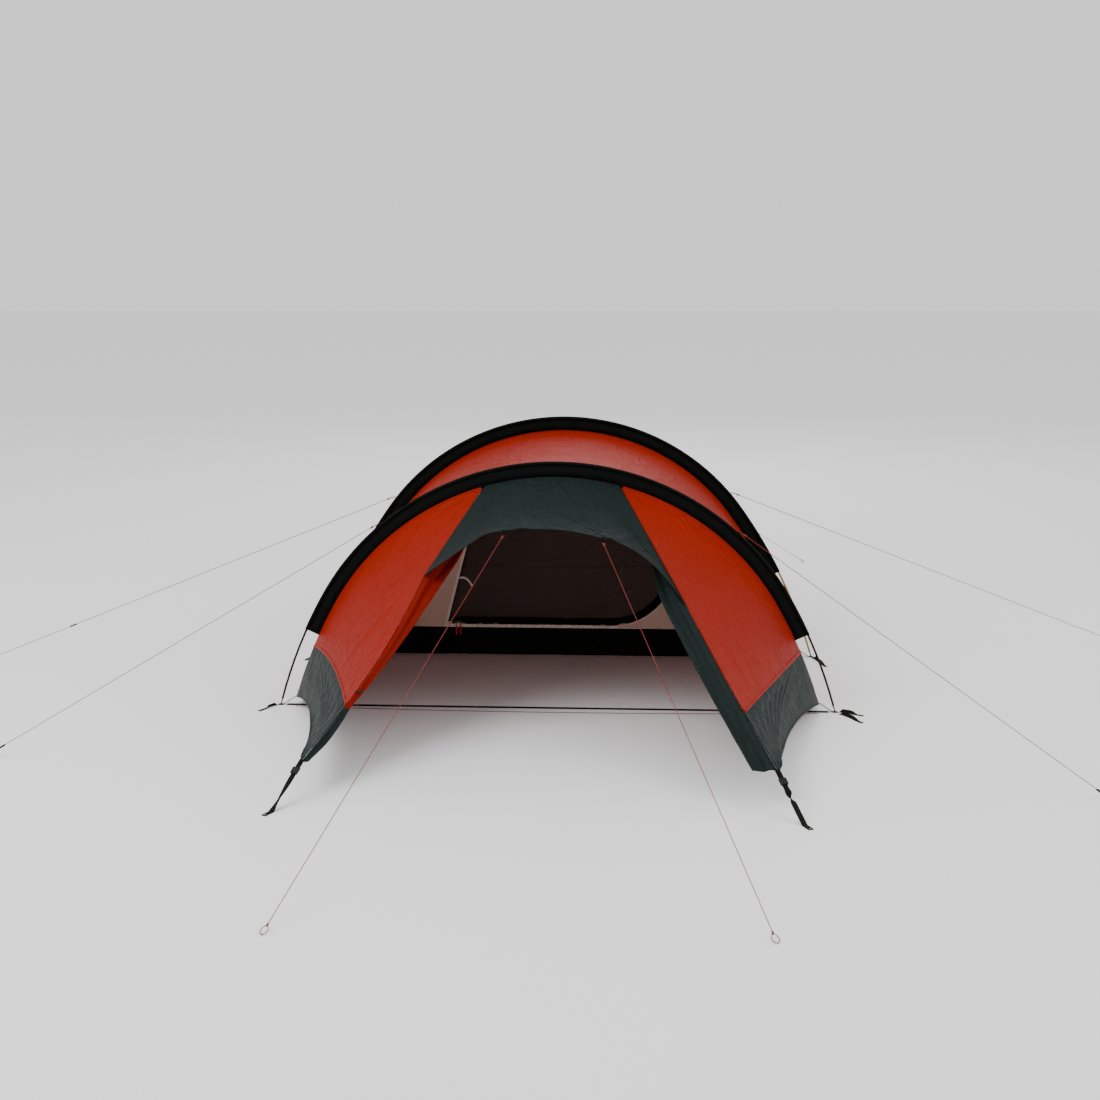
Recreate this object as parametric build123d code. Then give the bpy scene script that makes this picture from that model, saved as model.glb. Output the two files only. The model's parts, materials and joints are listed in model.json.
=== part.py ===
from build123d import *
import os
from math import acos, asin, cos, hypot, radians, sin, tan

# Tunnel tent with three hooped poles, a porch and a hanging inner tent.
# Millimetres. Origin: centre of the groundsheet's underside. X right, Y to the back, Z up.

# Plan
floor_length = 2100.0
wall_to_hoop = 22.0
porch_depth = 820.0
cabin_length = 1500.0
tail_length = 830.0

# Pole arches, measured over the pole: half-width on the ground, height, knee and foot angles
front_half = 1100.0
front_height = 980.0
front_knee = 60.2
front_foot = 74.8
mid_half = 1100.0
mid_height = 1065.0
mid_knee = 54.2
mid_foot = 73.7
rear_half = 900.0
rear_height = 740.0
rear_knee = 56.0
rear_foot = 74.0
tail_half = 740.0
tail_height = 310.0
tail_knee = 30.0
tail_foot = 75.0

# Poles
pole_r = 4.25
pole_wall = 0.7
pole_sections = 7
pole_joint_gap = 0.4
ferrule_length = 90.0
ferrule_fit = 0.08
ferrule_wall = 1.0
tip_length = 28.0
tip_r = 2.6
shock_cord_r = 1.25
cord_inside = 12.0

# Pole sleeves
sleeve_cloth = 1.2
sleeve_play = 0.6
sleeve_depth = 56.0
fin_thickness = 2.4
front_sleeve_end = 310.0
mid_sleeve_end = 385.0
rear_sleeve_end = 260.0

# Flysheet
cloth = 1.2
seam_gap = 1.0
fly_hem = 30.0

# Porch panels, given on the left and right of the front opening, from the front hoop's plane
seam_top_left = 272.0
seam_top_right = 250.0
peg_left = Vector(-868, -1194, 0)
peg_right = Vector(861, -1227, 0)
panel_end = 0.862
patch_start = 0.71
patch_height = 232.0
hood_edge = [
    Vector(-459, -381, 610),
    Vector(-345, -400, 700),
    Vector(-250, -362, 752),
    Vector(-160, -337, 773),
    Vector(10, -330, 776),
    Vector(187, -371, 756),
    Vector(290, -400, 728),
    Vector(390, -445, 655),
    Vector(486, -482, 551),
]
left_strip_start = 0.33
left_strip_end = 0.85
left_strip = Vector(62, 26, -10)
right_strip_start = 0.40
right_strip_end = 0.858
right_strip = Vector(-78, 22, -12)

# Guy lines: tab height on its hoop, and where the line's end loop lies
guy_r = 1.25
tab_width = 15.0
tab_thickness = 1.6
tab_length = 24.0
front_tab_left = 734.0
front_tab_right = 712.0
mid_tab_left = 708.0
mid_tab_right = 735.0
rear_tab = 490.0
front_guy_left = Vector(-2010, -2553, 0)
front_guy_right = Vector(1885, -2835, 0)
mid_guy_left = Vector(-2560, -1285, 0)
mid_guy_right = Vector(2530, -730, 0)
rear_guy_left = Vector(-1293, 1069, 0)
rear_guy_right = Vector(1293, 1069, 0)
hood_guy_left = Vector(-668, -3898, 0)
hood_guy_right = Vector(686, -3880, 0)
hood_tab_left = 3
hood_tab_right = 5
loop_length = 36.0
loop_half = 11.0

# Runners on the guy lines: distance from the end loop
runner_size = Vector(9, 5.5, 30)
runner_play = 0.35
runner_from_loop = 40.0
mid_left_runner = 395.0

# Webbing
web = 1.4
corner_web = 20.0
foot_web = 15.0
base_web = 20.0
eyelet_r = 4.0
eyelet_margin = 5.0
buckle_wall = 3.0
buckle_play = 0.5
corner_buckle_length = 24.0
corner_buckle_from_top = 0.16
corner_flat = 30.0
tail_flat = 24.0
foot_flat = 14.0

# Foot straps on the ground: start and eyelet, out from the pole foot and along Y from the hoop
front_left_run = (Vector(17, -11), Vector(62, -88))
front_right_run = (Vector(17, 2), Vector(96, -42))
front_right_spare_run = (Vector(16, -22), Vector(82, -130))
mid_run = (Vector(6.25, -16), Vector(43.25, -155))
rear_run = (Vector(16.25, 0), Vector(94.25, 30))
tail_strap_start = Vector(70, 6)
tail_strap_eyelet = Vector(40, 110)
foot_plate = 22.0
foot_plate_play = 1.6
base_strap_clear = 26.0
tensioner_width = 12.0
tensioner_above_hem = 6.0
tensioner_out = 17.0

# Inner tent
inner_cloth = 1.5
inner_gap = 150.0
tub_height = 125.0
foot_half = 690.0
foot_height = 345.0
foot_knee = 30.0
foot_foot = 75.0

# Inner door: a D whose straight side is a slanting seam
door_bottom = 150.0
door_top = 775.0
door_left_bottom = -523.0
door_left_top = -357.0
door_right = 478.0
door_top_radius = 250.0
door_bottom_radius = 270.0
door_gap = 3.0
zip_out = 8.0
zip_in = 12.0
zip_thickness = 2.0
layer_gap = 0.5
tape_width = 16.0
slider_size = Vector(9, 5, 13)
slider_first = -484.0
slider_second = -466.0
pull_size = Vector(5, 1.5, 56)
pull_gap = 1.5

floor_front = -floor_length / 2
floor_back = floor_length / 2
mid_y = floor_front + wall_to_hoop
front_y = mid_y - porch_depth
rear_y = mid_y + cabin_length
tail_y = rear_y + tail_length

os.makedirs("parts", exist_ok=True)


def write(name, solids):
    solids = solids if isinstance(solids, list) else [solids]
    shape = solids[0] if len(solids) == 1 else Compound(children=solids)
    export_step(shape, f"parts/{name}.step")


# An arch of three tangent arcs. Angles are from the vertical, negative on the left.
class Hoop:
    def __init__(self, y, half, height, knee, foot):
        a = radians(knee)
        b = radians(foot)
        spread = sin(b) - sin(a)
        drop = cos(a) - cos(b)
        scale = sin(a) * drop - spread * (1 - cos(a))
        self.y = y
        self.knee = a
        self.top_r = (half * drop - spread * height) / scale
        self.side_r = (sin(a) * height - (1 - cos(a)) * half) / scale
        self.top_z = height - self.top_r
        self.side_x = (self.top_r - self.side_r) * sin(a)
        self.side_z = self.top_z + (self.top_r - self.side_r) * cos(a)

    def at(self, angle, inset=0.0, y=None):
        side = -1 if angle < 0 else 1
        turn = abs(angle)
        place = self.y if y is None else y
        if turn <= self.knee:
            r = self.top_r - inset
            return Vector(side * r * sin(turn), place, self.top_z + r * cos(turn))
        r = self.side_r - inset
        return Vector(side * (self.side_x + r * sin(turn)), place, self.side_z + r * cos(turn))

    def outward(self, angle):
        return Vector(sin(angle), 0, cos(angle))

    def angle_at_height(self, z, inset=0.0):
        angle = acos((z - self.side_z) / (self.side_r - inset))
        if angle >= self.knee:
            return angle
        return acos((z - self.top_z) / (self.top_r - inset))

    def angle_at_width(self, x, inset=0.0):
        angle = asin(x / (self.top_r - inset))
        if angle <= self.knee:
            return angle
        return asin((x - self.side_x) / (self.side_r - inset))

    def arcs(self, start, end, inset=0.0, y=None):
        way = 1 if end > start else -1
        inside = [k for k in (-self.knee, self.knee) if way * start < way * k < way * end]
        stops = [start, *sorted(inside, reverse=way < 0), end]
        return [
            Edge.make_three_point_arc(
                self.at(a, inset, y), self.at((a + b) / 2, inset, y), self.at(b, inset, y)
            )
            for a, b in zip(stops, stops[1:])
        ]

    def length(self, start, end, inset=0.0):
        return sum(e.length for e in self.arcs(start, end, inset))

    # The angle that lies a given length along the arch from a start angle
    def along(self, start, distance, inset=0.0):
        top = self.top_r - inset
        side = self.side_r - inset
        left = max(0.0, -self.knee - start) * side
        if distance <= left:
            return start + distance / side
        start = max(start, -self.knee)
        distance -= left
        middle = max(0.0, self.knee - start) * top
        if distance <= middle:
            return start + distance / top
        start = max(start, self.knee)
        return start + (distance - middle) / side


front = Hoop(front_y, front_half, front_height, front_knee, front_foot)
mid = Hoop(mid_y, mid_half, mid_height, mid_knee, mid_foot)
rear = Hoop(rear_y, rear_half, rear_height, rear_knee, rear_foot)
tail = Hoop(tail_y, tail_half, tail_height, tail_knee, tail_foot)
inner_foot = Hoop(floor_back, foot_half, foot_height, foot_knee, foot_foot)


# Poles: tube sections on a bent line, joined by ferrules, with a tip at each end
def swept(hoop, start, end, outer, inner=0.0):
    path = Wire(hoop.arcs(start, end, pole_r))
    section = Circle(outer)
    if inner:
        section -= Circle(inner)
    return sweep(Plane(origin=path @ 0, z_dir=path % 0) * section, path=path).solid()


def pole(name, hoop):
    foot = hoop.angle_at_height(tip_length, pole_r)
    whole = hoop.length(-foot, foot, pole_r)
    each = whole / pole_sections
    gap = pole_joint_gap / 2
    bore = pole_r - pole_wall
    tubes = []
    ferrules = []
    for i in range(pole_sections):
        start = hoop.along(-foot, i * each + gap, pole_r)
        end = hoop.along(-foot, (i + 1) * each - gap, pole_r)
        tubes.append(swept(hoop, start, end, pole_r, bore))
    for i in range(1, pole_sections):
        start = hoop.along(-foot, i * each - ferrule_length / 2, pole_r)
        end = hoop.along(-foot, i * each + ferrule_length / 2, pole_r)
        outer = bore - ferrule_fit
        ferrules.append(swept(hoop, start, end, outer, outer - ferrule_wall))
    tips = []
    for side in (-1, 1):
        place = hoop.at(side * foot, pole_r)
        down = Vector(side * cos(foot), 0, -sin(foot))
        stub = Plane(origin=place + down * gap, z_dir=down) * Cone(
            pole_r, tip_r, 6, align=(Align.CENTER, Align.CENTER, Align.MIN)
        )
        pin = Plane(origin=place + down * (6 + gap), z_dir=down) * Cylinder(
            tip_r, tip_length, align=(Align.CENTER, Align.CENTER, Align.MIN)
        )
        ground = Pos(place.X, place.Y, -50) * Box(200, 200, 100)
        tips.append((stub + pin - ground).solid())
    write(f"{name}_pole_sections", tubes)
    start = hoop.along(-foot, cord_inside, pole_r)
    return ferrules, tips, swept(hoop, start, -start, shock_cord_r)


def poles():
    made = [pole("front", front), pole("mid", mid), pole("rear", rear)]
    write("pole_ferrules", [f for ferrules, _, _ in made for f in ferrules])
    write("pole_tips", [t for _, tips, _ in made for t in tips])
    write("pole_shock_cords", [cord for _, _, cord in made])


# A sleeve is a round tunnel on the pole with a flat fin down to the flysheet
def sleeve(name, hoop, end_height):
    tunnel = pole_r + sleeve_play
    end = hoop.angle_at_height(end_height, pole_r)
    path = Wire(hoop.arcs(-end, end, pole_r))
    start = path @ 0
    towards = -hoop.outward(-end)
    fin_top = tunnel + sleeve_cloth * 0.5
    fin_length = sleeve_depth - pole_r - fin_top
    ring = Circle(tunnel + sleeve_cloth)
    fin = Pos(fin_top + fin_length / 2, 0) * Rectangle(fin_length, fin_thickness)
    section = ring + fin - Circle(tunnel)
    write(name, sweep(Plane(origin=start, x_dir=towards, z_dir=path % 0) * section, path=path).solid())


# The closed outline of a thin arched cloth, standing on a given height
def arch_wire(hoop, inset, thickness, height, y=None):
    outer = hoop.angle_at_height(height, inset)
    inner = hoop.angle_at_height(height, inset + thickness)
    out = hoop.arcs(-outer, outer, inset, y)
    back = hoop.arcs(inner, -inner, inset + thickness, y)
    right = Edge.make_line(out[-1] @ 1, back[0] @ 0)
    left = Edge.make_line(back[-1] @ 1, out[0] @ 0)
    return Wire([*out, right, *back, left])


def arch_face(hoop, inset, height, y):
    end = hoop.angle_at_height(height, inset)
    out = hoop.arcs(-end, end, inset, y)
    return Face(Wire([*out, Edge.make_line(out[-1] @ 1, out[0] @ 0)]))


# A thin cloth through a row of straight rules, each from one edge of it to the other
def ruled_cloth(rules, thickness, toward):
    wires = []
    for i, (a, b) in enumerate(rules):
        before = rules[max(i - 1, 0)]
        after = rules[min(i + 1, len(rules) - 1)]
        run = (after[0] + after[1] - before[0] - before[1]).normalized()
        normal = run.cross((b - a).normalized()).normalized()
        normal = normal if normal.dot(toward) > 0 else -normal
        shift = normal * thickness
        wires.append(Wire.make_polygon([a, b, b + shift, a + shift], close=True))
    return Solid.make_loft(wires, ruled=True)


def fly():
    inset = sleeve_depth + 0.5
    half = seam_gap / 2
    stations = [
        ("fly_porch", front, front_y + half, mid, mid_y - half),
        ("fly_cabin", mid, mid_y + half, rear, rear_y - half),
    ]
    for name, one, one_y, two, two_y in stations:
        ends = [
            arch_wire(one, inset, cloth, fly_hem, one_y),
            arch_wire(two, inset, cloth, fly_hem, two_y),
        ]
        write(name, Solid.make_loft(ends, ruled=True))
    ends = [
        arch_wire(rear, inset, cloth, fly_hem, rear_y + half),
        arch_wire(tail, 0, cloth, fly_hem, tail_y),
    ]
    write("fly_tail", Solid.make_loft(ends, ruled=True))
    cap = arch_face(tail, 0, fly_hem, tail_y + seam_gap)
    write("fly_tail_end", extrude(cap, cloth, dir=(0, 1, 0)).solid())


def seam_line(side):
    top_x = seam_top_left if side < 0 else seam_top_right
    peg = peg_left if side < 0 else peg_right
    inset = sleeve_depth + 0.5
    angle = side * front.angle_at_width(top_x, inset)
    return front.at(angle, inset), Vector(peg.X, front_y + peg.Y, peg.Z), angle


# The porch's side panels hang from the front hoop to a straight seam that runs to a corner peg
def porch_panel(side, name, patch_name):
    inset = sleeve_depth + 0.5
    top, peg, top_angle = seam_line(side)
    patch_angle = side * front.angle_at_height(patch_height, inset)
    hem_angle = side * front.angle_at_height(fly_hem, inset)
    steps = 8
    gap = Vector(0, -seam_gap, 0)

    def rule(angle, share):
        return front.at(angle, inset) + gap, top + (peg - top) * share + gap

    upper = []
    for i in range(steps + 1):
        t = max(i / steps, 0.03)
        shown = min(t, 1 - seam_gap / 700)
        upper.append(rule(top_angle + (patch_angle - top_angle) * shown, patch_start * shown))
    lower = []
    for i in range(4):
        t = i / 3
        share = patch_start + (panel_end - patch_start) * t
        lower.append(rule(patch_angle + (hem_angle - patch_angle) * t, share))
    write(name, ruled_cloth(upper, cloth, Vector(0, -1, 0)))
    write(patch_name, ruled_cloth(lower, cloth, Vector(0, -1, 0)))


# The upper door panel is held out as a hood between the two seams
def hood():
    inset = sleeve_depth + 0.5
    left = seam_line(-1)[2]
    right = seam_line(1)[2]
    rules = []
    count = len(hood_edge) - 1
    for i, low in enumerate(hood_edge):
        angle = left + (right - left) * (0.012 + 0.976 * i / count)
        high = front.at(angle, inset) + Vector(0, -seam_gap - 0.5, 0)
        rules.append((high, Vector(low.X, low.Y + front_y, low.Z)))
    write("hood", ruled_cloth(rules, cloth, Vector(0, 0, 1)))


# Cloth folded in along a seam of the opening
def edge_strip(name, side, start, end, across):
    top, peg, _ = seam_line(side)
    lift = Vector(-side * seam_gap * 1.5, 2.5, 0)
    rules = []
    for share in (start, (start + end) / 2, end):
        place = top + (peg - top) * share + lift
        rules.append((place, place + across))
    write(name, ruled_cloth(rules, cloth, Vector(0, 1, 0)))


# Webbing that comes down to the ground and ends flat in an eyelet
def webbing(start, end, width, flat):
    level = hypot(end.X - start.X, end.Y - start.Y)
    ahead = Vector(end.X - start.X, end.Y - start.Y, 0) * (1 / level)
    tip = level + eyelet_r + eyelet_margin
    outline = [
        (0, start.Z),
        (level - flat, 0),
        (tip, 0),
        (tip, web),
        (level - flat, web),
        (0, start.Z + web),
    ]
    if start.Z < web:
        outline = [(0, 0), (tip, 0), (tip, web), (0, web)]
    side = Plane(origin=(start.X, start.Y, 0), x_dir=ahead, z_dir=ahead.cross(Vector(0, 0, 1)))
    strap = extrude(side * make_face(Polyline(*outline, close=True)), width / 2, both=True)
    return (strap - Pos(end.X, end.Y, 0) * Cylinder(eyelet_r, 8 * web)).solid()


# A flat buckle frame that a strap runs through, on the strap's slope
def buckle(place, run, width, length):
    across = run.cross(Vector(0, 0, 1)).normalized()
    frame = Box(width + 2 * buckle_wall, web + 2 * buckle_wall, length)
    slot = Box(width + 2 * buckle_play, web + 2 * buckle_play, 2 * length)
    return (Plane(origin=place, x_dir=across, z_dir=run) * (frame - slot)).solid()


def corners():
    for side, name in ((-1, "left"), (1, "right")):
        top, peg, _ = seam_line(side)
        corner = top + (peg - top) * panel_end
        run = (peg - corner).normalized()
        start = corner + run * 4
        strap_run = (Vector(peg.X, peg.Y, 0) - Vector(start.X, start.Y, 0)).normalized()
        write(f"{name}_corner_strap", webbing(start, peg, corner_web, corner_flat))
        bend = peg - strap_run * corner_flat
        slope = (bend - start).normalized()
        middle = start + (bend - start) * corner_buckle_from_top + Vector(0, 0, web / 2)
        write(f"{name}_corner_buckle", buckle(middle, slope, corner_web, corner_buckle_length))
        print(f"{name} corner eyelet {tuple(peg)} slope {tuple(slope)}")


# Straps on the ground at the pole feet, each with a peg eyelet, and the tensioners up to the fly
def feet():
    foot_x = front_half - pole_r
    base = Box(2 * (foot_x - base_strap_clear), base_web, web, align=(Align.CENTER, Align.CENTER, Align.MIN))
    write("base_strap", (Pos(0, front_y, 0) * base).solid())

    def strap(side, half, y, run):
        ends = [Vector(side * (half - pole_r + place.X), y + place.Y, 0) for place in run]
        return webbing(*ends, foot_web, foot_flat), ends[1]

    straps = {
        "front_left_foot_strap": [strap(-1, front_half, front_y, front_left_run)],
        "front_right_foot_straps": [
            strap(1, front_half, front_y, front_right_run),
            strap(1, front_half, front_y, front_right_spare_run),
        ],
        "back_foot_straps": [
            strap(side, half, y, run)
            for half, y, run in ((mid_half, mid_y, mid_run), (rear_half, rear_y, rear_run))
            for side in (-1, 1)
        ],
    }
    for name, made in straps.items():
        write(name, [solid for solid, _ in made])
        for _, eyelet in made:
            print(f"{name} eyelet {tuple(eyelet)}")
    tabs = []
    for side in (-1, 1):
        start = Vector(side * (tail_half - tail_strap_start.X), tail_y + tail_strap_start.Y, fly_hem)
        end = Vector(side * (tail_half - tail_strap_eyelet.X), tail_y + tail_strap_eyelet.Y, 0)
        tabs.append(webbing(start, end, corner_web, tail_flat))
        print(f"tail eyelet {tuple(end)}")
    write("tail_peg_straps", tabs)
    sockets = []
    for hoop, half in ((front, front_half), (mid, mid_half), (rear, rear_half)):
        for side in (-1, 1):
            plate = Box(foot_plate, foot_plate, web, align=(Align.CENTER, Align.CENTER, Align.MIN))
            hole = Cylinder(tip_r + foot_plate_play, 6 * web)
            sockets.append((Pos(side * (half - pole_r), hoop.y, 0) * (plate - hole)).solid())
    write("foot_plates", sockets)


def tensioner(side, hoop):
    inset = sleeve_depth + 0.5
    rise = fly_hem + tensioner_above_hem
    hem = hoop.at(side * hoop.angle_at_height(rise, inset), inset)
    top = Vector(hem.X + side * 3, hem.Y, rise)
    foot = Vector(hoop.at(side * hoop.angle_at_height(0)).X - side * tensioner_out, hoop.y, web + 1)
    run = foot - top
    plane = Plane(origin=top, x_dir=run.cross(Vector(0, 1, 0)), z_dir=run)
    band = Box(web, tensioner_width, run.length, align=(Align.CENTER, Align.CENTER, Align.MIN))
    return (plane * band).solid()


def tensioners():
    write("foot_tensioners", [tensioner(s, h) for h in (front, mid, rear) for s in (-1, 1)])


# Cord routes are straight runs joined by arcs
def cord(points):
    radii = []
    for before, place, after in zip(points, points[1:], points[2:]):
        one = place - before
        two = after - place
        half = radians(one.get_angle(two)) / 2
        radii.append(0.45 * min(one.length, two.length) / tan(half))
    path = FilletPolyline(*points, radius=radii)
    tube = sweep(Plane(origin=path @ 0, z_dir=path % 0) * Circle(guy_r), path=path).solid()
    expected = path.length * Circle(guy_r).area
    tightest = min(radii)
    print(f"  length {path.length:.0f}, tightest {tightest:.1f}, volume {tube.volume / expected:.4f}")
    return tube


# A guy line runs straight from its tab to a small peg loop on the ground
def guy(name, start, end):
    ahead = (end - start).normalized()
    across = ahead.cross(Vector(0, 0, 1)).normalized()
    tip = end + Vector(0, 0, guy_r + 0.6)
    ahead = (tip - start).normalized()
    neck = tip - ahead * loop_length
    loop = [
        neck,
        neck + ahead * loop_length * 0.42 + across * loop_half,
        neck + ahead * loop_length * 0.86 + across * loop_half * 0.75,
        neck + ahead * loop_length * 0.98 - across * loop_half * 0.1,
        neck + ahead * loop_length * 0.80 - across * loop_half * 0.85,
        neck + ahead * loop_length * 0.40 - across * loop_half,
        neck + ahead * 5 - across * (2 * guy_r + 0.8),
    ]
    print(name)
    write(name, cord([start, *loop]))
    return ahead, neck


def runner(name, place, ahead):
    across = ahead.cross(Vector(0, 0, 1)).normalized()
    body = Box(runner_size.X, runner_size.Y, runner_size.Z)
    body = fillet(body.edges().filter_by(Axis.Z), 2.0)
    hole = Cylinder(guy_r + runner_play, 2 * runner_size.Z)
    write(name, (Plane(origin=place, x_dir=across, z_dir=ahead) * (body - hole)).solid())
    print(f"{name} at {tuple(place)} along {tuple(ahead)}")


# A webbing tab stands out from the sleeve towards its guy line
def tab(hoop, side, height, end):
    surface = pole_r - (pole_r + sleeve_play + sleeve_cloth)
    angle = side * hoop.angle_at_height(height, surface)
    out = hoop.outward(angle)
    root = hoop.at(angle, surface) + out * 1.6
    tip = root + out * 4 + (end - root).normalized() * (tab_length - 4)
    run = tip - root
    side_way = run.cross(Vector(0, 1, 0)).normalized()
    plane = Plane(origin=root, x_dir=side_way, z_dir=run)
    band = Box(tab_thickness, tab_width, run.length, align=(Align.CENTER, Align.CENTER, Align.MIN))
    return (plane * band).solid(), tip


def guys():
    lines = [
        ("front_left", front, -1, front_tab_left, front_guy_left, runner_from_loop),
        ("front_right", front, 1, front_tab_right, front_guy_right, runner_from_loop),
        ("mid_left", mid, -1, mid_tab_left, mid_guy_left, mid_left_runner),
        ("mid_right", mid, 1, mid_tab_right, mid_guy_right, runner_from_loop),
        ("rear_left", rear, -1, rear_tab, rear_guy_left, None),
        ("rear_right", rear, 1, rear_tab, rear_guy_right, None),
    ]
    tabs = []
    for name, hoop, side, height, end, back in lines:
        band, tip = tab(hoop, side, height, end)
        tabs.append(band)
        start = tip + (end - tip).normalized() * 0.4
        ahead, neck = guy(f"{name}_guy", start, end)
        if back:
            runner(f"{name}_runner", neck - ahead * back, ahead)
    for name, index, end in (
        ("hood_left", hood_tab_left, hood_guy_left),
        ("hood_right", hood_tab_right, hood_guy_right),
    ):
        low = hood_edge[index]
        edge = Vector(low.X, low.Y + front_y, low.Z)
        ahead = (end - edge).normalized()
        plane = Plane(origin=edge + ahead * 6, x_dir=ahead.cross(Vector(0, 0, 1)), z_dir=ahead)
        band = Box(tab_width, tab_thickness, tab_length, align=(Align.CENTER, Align.CENTER, Align.MIN))
        tabs.append((plane * band).solid())
        guy(f"{name}_guy", edge + ahead * (tab_length + 6.4), end)
    write("guy_tabs", tabs)


def porch_cord():
    x = front_half - 70
    z = guy_r + 0.1
    points = [
        Vector(-x, front_y - 22, z),
        Vector(-x * 0.56, front_y - 62, z),
        Vector(x * 0.66, front_y - 58, z),
        Vector(x, front_y - 22, z),
    ]
    print("porch_cord")
    write("porch_cord", cord(points))


# Inner tent
def inner_half(hoop, inset):
    return hoop.at(hoop.angle_at_height(tub_height, inset), inset).X


def groundsheet():
    corners = [
        (inner_half(mid, inner_gap), floor_front),
        (inner_half(rear, inner_gap), rear_y),
        (inner_half(inner_foot, 0), floor_back),
    ]
    mirror_side = [(-x, y) for x, y in reversed(corners)]
    outline = make_face(Polyline(*corners, *mirror_side, close=True))
    tub = extrude(outline, tub_height)
    room = extrude(offset(outline, -inner_cloth, kind=Kind.INTERSECTION), tub_height)
    write("groundsheet", (tub - Pos(0, 0, inner_cloth) * room).solid())


def inner_body():
    low = tub_height + 1
    wires = [
        arch_wire(mid, inner_gap, inner_cloth, low, floor_front),
        arch_wire(rear, inner_gap, inner_cloth, low, rear_y),
        arch_wire(inner_foot, 0, inner_cloth, low, floor_back),
    ]
    write("inner_body", Solid.make_loft(wires, ruled=True))
    end = arch_face(inner_foot, 0, low, floor_back + 1)
    write("inner_foot_wall", extrude(end, inner_cloth, dir=(0, 1, 0)).solid())


# The D of the door in its own plane, X across and Z up
def door_outline():
    low = door_bottom
    r1 = door_bottom_radius
    r2 = door_top_radius
    right = door_right
    arc = 1 - cos(radians(45))
    edges = [
        Edge.make_line((door_left_bottom, low), (right - r1, low)),
        Edge.make_three_point_arc(
            (right - r1, low), (right - r1 * arc, low + r1 * arc), (right, low + r1)
        ),
        Edge.make_line((right, low + r1), (right, door_top - r2)),
        Edge.make_three_point_arc(
            (right, door_top - r2), (right - r2 * arc, door_top - r2 * arc), (right - r2, door_top)
        ),
        Edge.make_line((right - r2, door_top), (door_left_top, door_top)),
        Edge.make_line((door_left_top, door_top), (door_left_bottom, low)),
    ]
    return Face(Wire(edges))


def in_wall(face, y, thickness):
    wall = Plane(origin=(0, y, 0), x_dir=(1, 0, 0), z_dir=(0, -1, 0))
    return extrude(wall * face, thickness).solid()


def front_wall():
    back = floor_front - 1
    low = tub_height + 1
    end = mid.angle_at_height(low, inner_gap)
    wall = extrude(arch_face(mid, inner_gap, low, back), inner_cloth, dir=(0, -1, 0))
    outline = door_outline()
    opening = in_wall(outline, back + 5, 12)
    write("inner_front_wall", (wall - opening).solid())
    leaf = offset(outline, -door_gap, kind=Kind.INTERSECTION)
    write("inner_door", in_wall(leaf, back, inner_cloth))
    grown = offset(outline, zip_out, kind=Kind.INTERSECTION)
    shrunk = offset(outline, -zip_in, kind=Kind.INTERSECTION)
    lean = Vector(door_left_top - door_left_bottom, door_top - door_bottom)
    foot = Vector(door_left_bottom, door_bottom) - lean * 0.3
    head = Vector(door_left_top, door_top) + lean * 0.3
    inward = Vector(zip_in + 8, 0)
    away = Vector(-200, 0)
    seam_side = make_face(Polyline(foot + inward, head + inward, head + away, foot + away, close=True))
    band = grown - shrunk - seam_side
    zip_y = back - inner_cloth - layer_gap
    write("inner_door_zip", in_wall(band, zip_y, zip_thickness))
    tape = [
        Vector(door_left_bottom, door_bottom - 12) - lean * 0.02,
        Vector(door_left_top, door_top) + lean * 0.02,
    ]
    side = Vector(-tape_width - 2, 0)
    near = Vector(-2, 0)
    strip = make_face(Polyline(tape[0] + near, tape[1] + near, tape[1] + side, tape[0] + side, close=True))
    write("door_seam_tape", in_wall(strip, zip_y, 1.0))
    return zip_y - zip_thickness


# Zip sliders park at the hinge end of the door's lower run, and their pulls hang from them
def sliders(face_y):
    y = face_y - 0.3 - slider_size.Y / 2
    for name, x in (("first", slider_first), ("second", slider_second)):
        body = Box(slider_size.X, slider_size.Y, slider_size.Z)
        body = fillet(body.edges().filter_by(Axis.Y), 1.5)
        write(f"{name}_slider", (Pos(x, y, door_bottom) * body).solid())
        top = door_bottom - slider_size.Z / 2 - pull_gap
        hung = Box(pull_size.X, pull_size.Y, pull_size.Z, align=(Align.CENTER, Align.CENTER, Align.MAX))
        hung = fillet(hung.edges().filter_by(Axis.Y), 1.5)
        write(f"{name}_pull", (Pos(x, y, top) * hung).solid())
    print(f"slider y {y:.2f} pull top {top:.2f}")


# A loop of tape beside the seam ties the rolled door back
def tie_back():
    lean = (door_left_top - door_left_bottom) / (door_top - door_bottom)
    z = 349.0
    x = door_left_bottom + (z - door_bottom) * lean + door_gap + 2
    y = floor_front - 1 - inner_cloth - layer_gap
    outer = Polyline(
        (x, z + 5), (x + 26, z + 3), (x + 47, z - 10), (x + 60, z - 34),
        (x + 52, z - 38), (x + 40, z - 17), (x + 22, z - 6), (x, z - 5), close=True
    )
    write("tie_back", in_wall(make_face(outer), y, 1.2))


def hangers():
    loops = []
    for hoop, place in ((mid, mid_y + 30), (rear, rear_y - 6)):
        for angle in (-40, 0, 40):
            turn = radians(angle)
            low = hoop.at(turn, inner_gap - 4, place)
            out = hoop.outward(turn)
            rise = inner_gap - 4 - sleeve_depth - cloth - 8
            plane = Plane(origin=low, x_dir=Vector(0, 1, 0), z_dir=out)
            strip = Box(10, 1.2, rise, align=(Align.CENTER, Align.CENTER, Align.MIN))
            loops.append((plane * strip).solid())
    write("inner_hangers", loops)


# A dark toggle on the left panel's edge holds the rolled door
def toggle():
    top, peg, _ = seam_line(-1)
    place = top + (peg - top) * 0.655
    pin = Pos(place.X + 34, place.Y - 6, place.Z - 12) * Rotation(0, 90, 0) * Cylinder(3.2, 26)
    write("door_toggle", fillet(pin.edges(), 1.5).solid())


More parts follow.
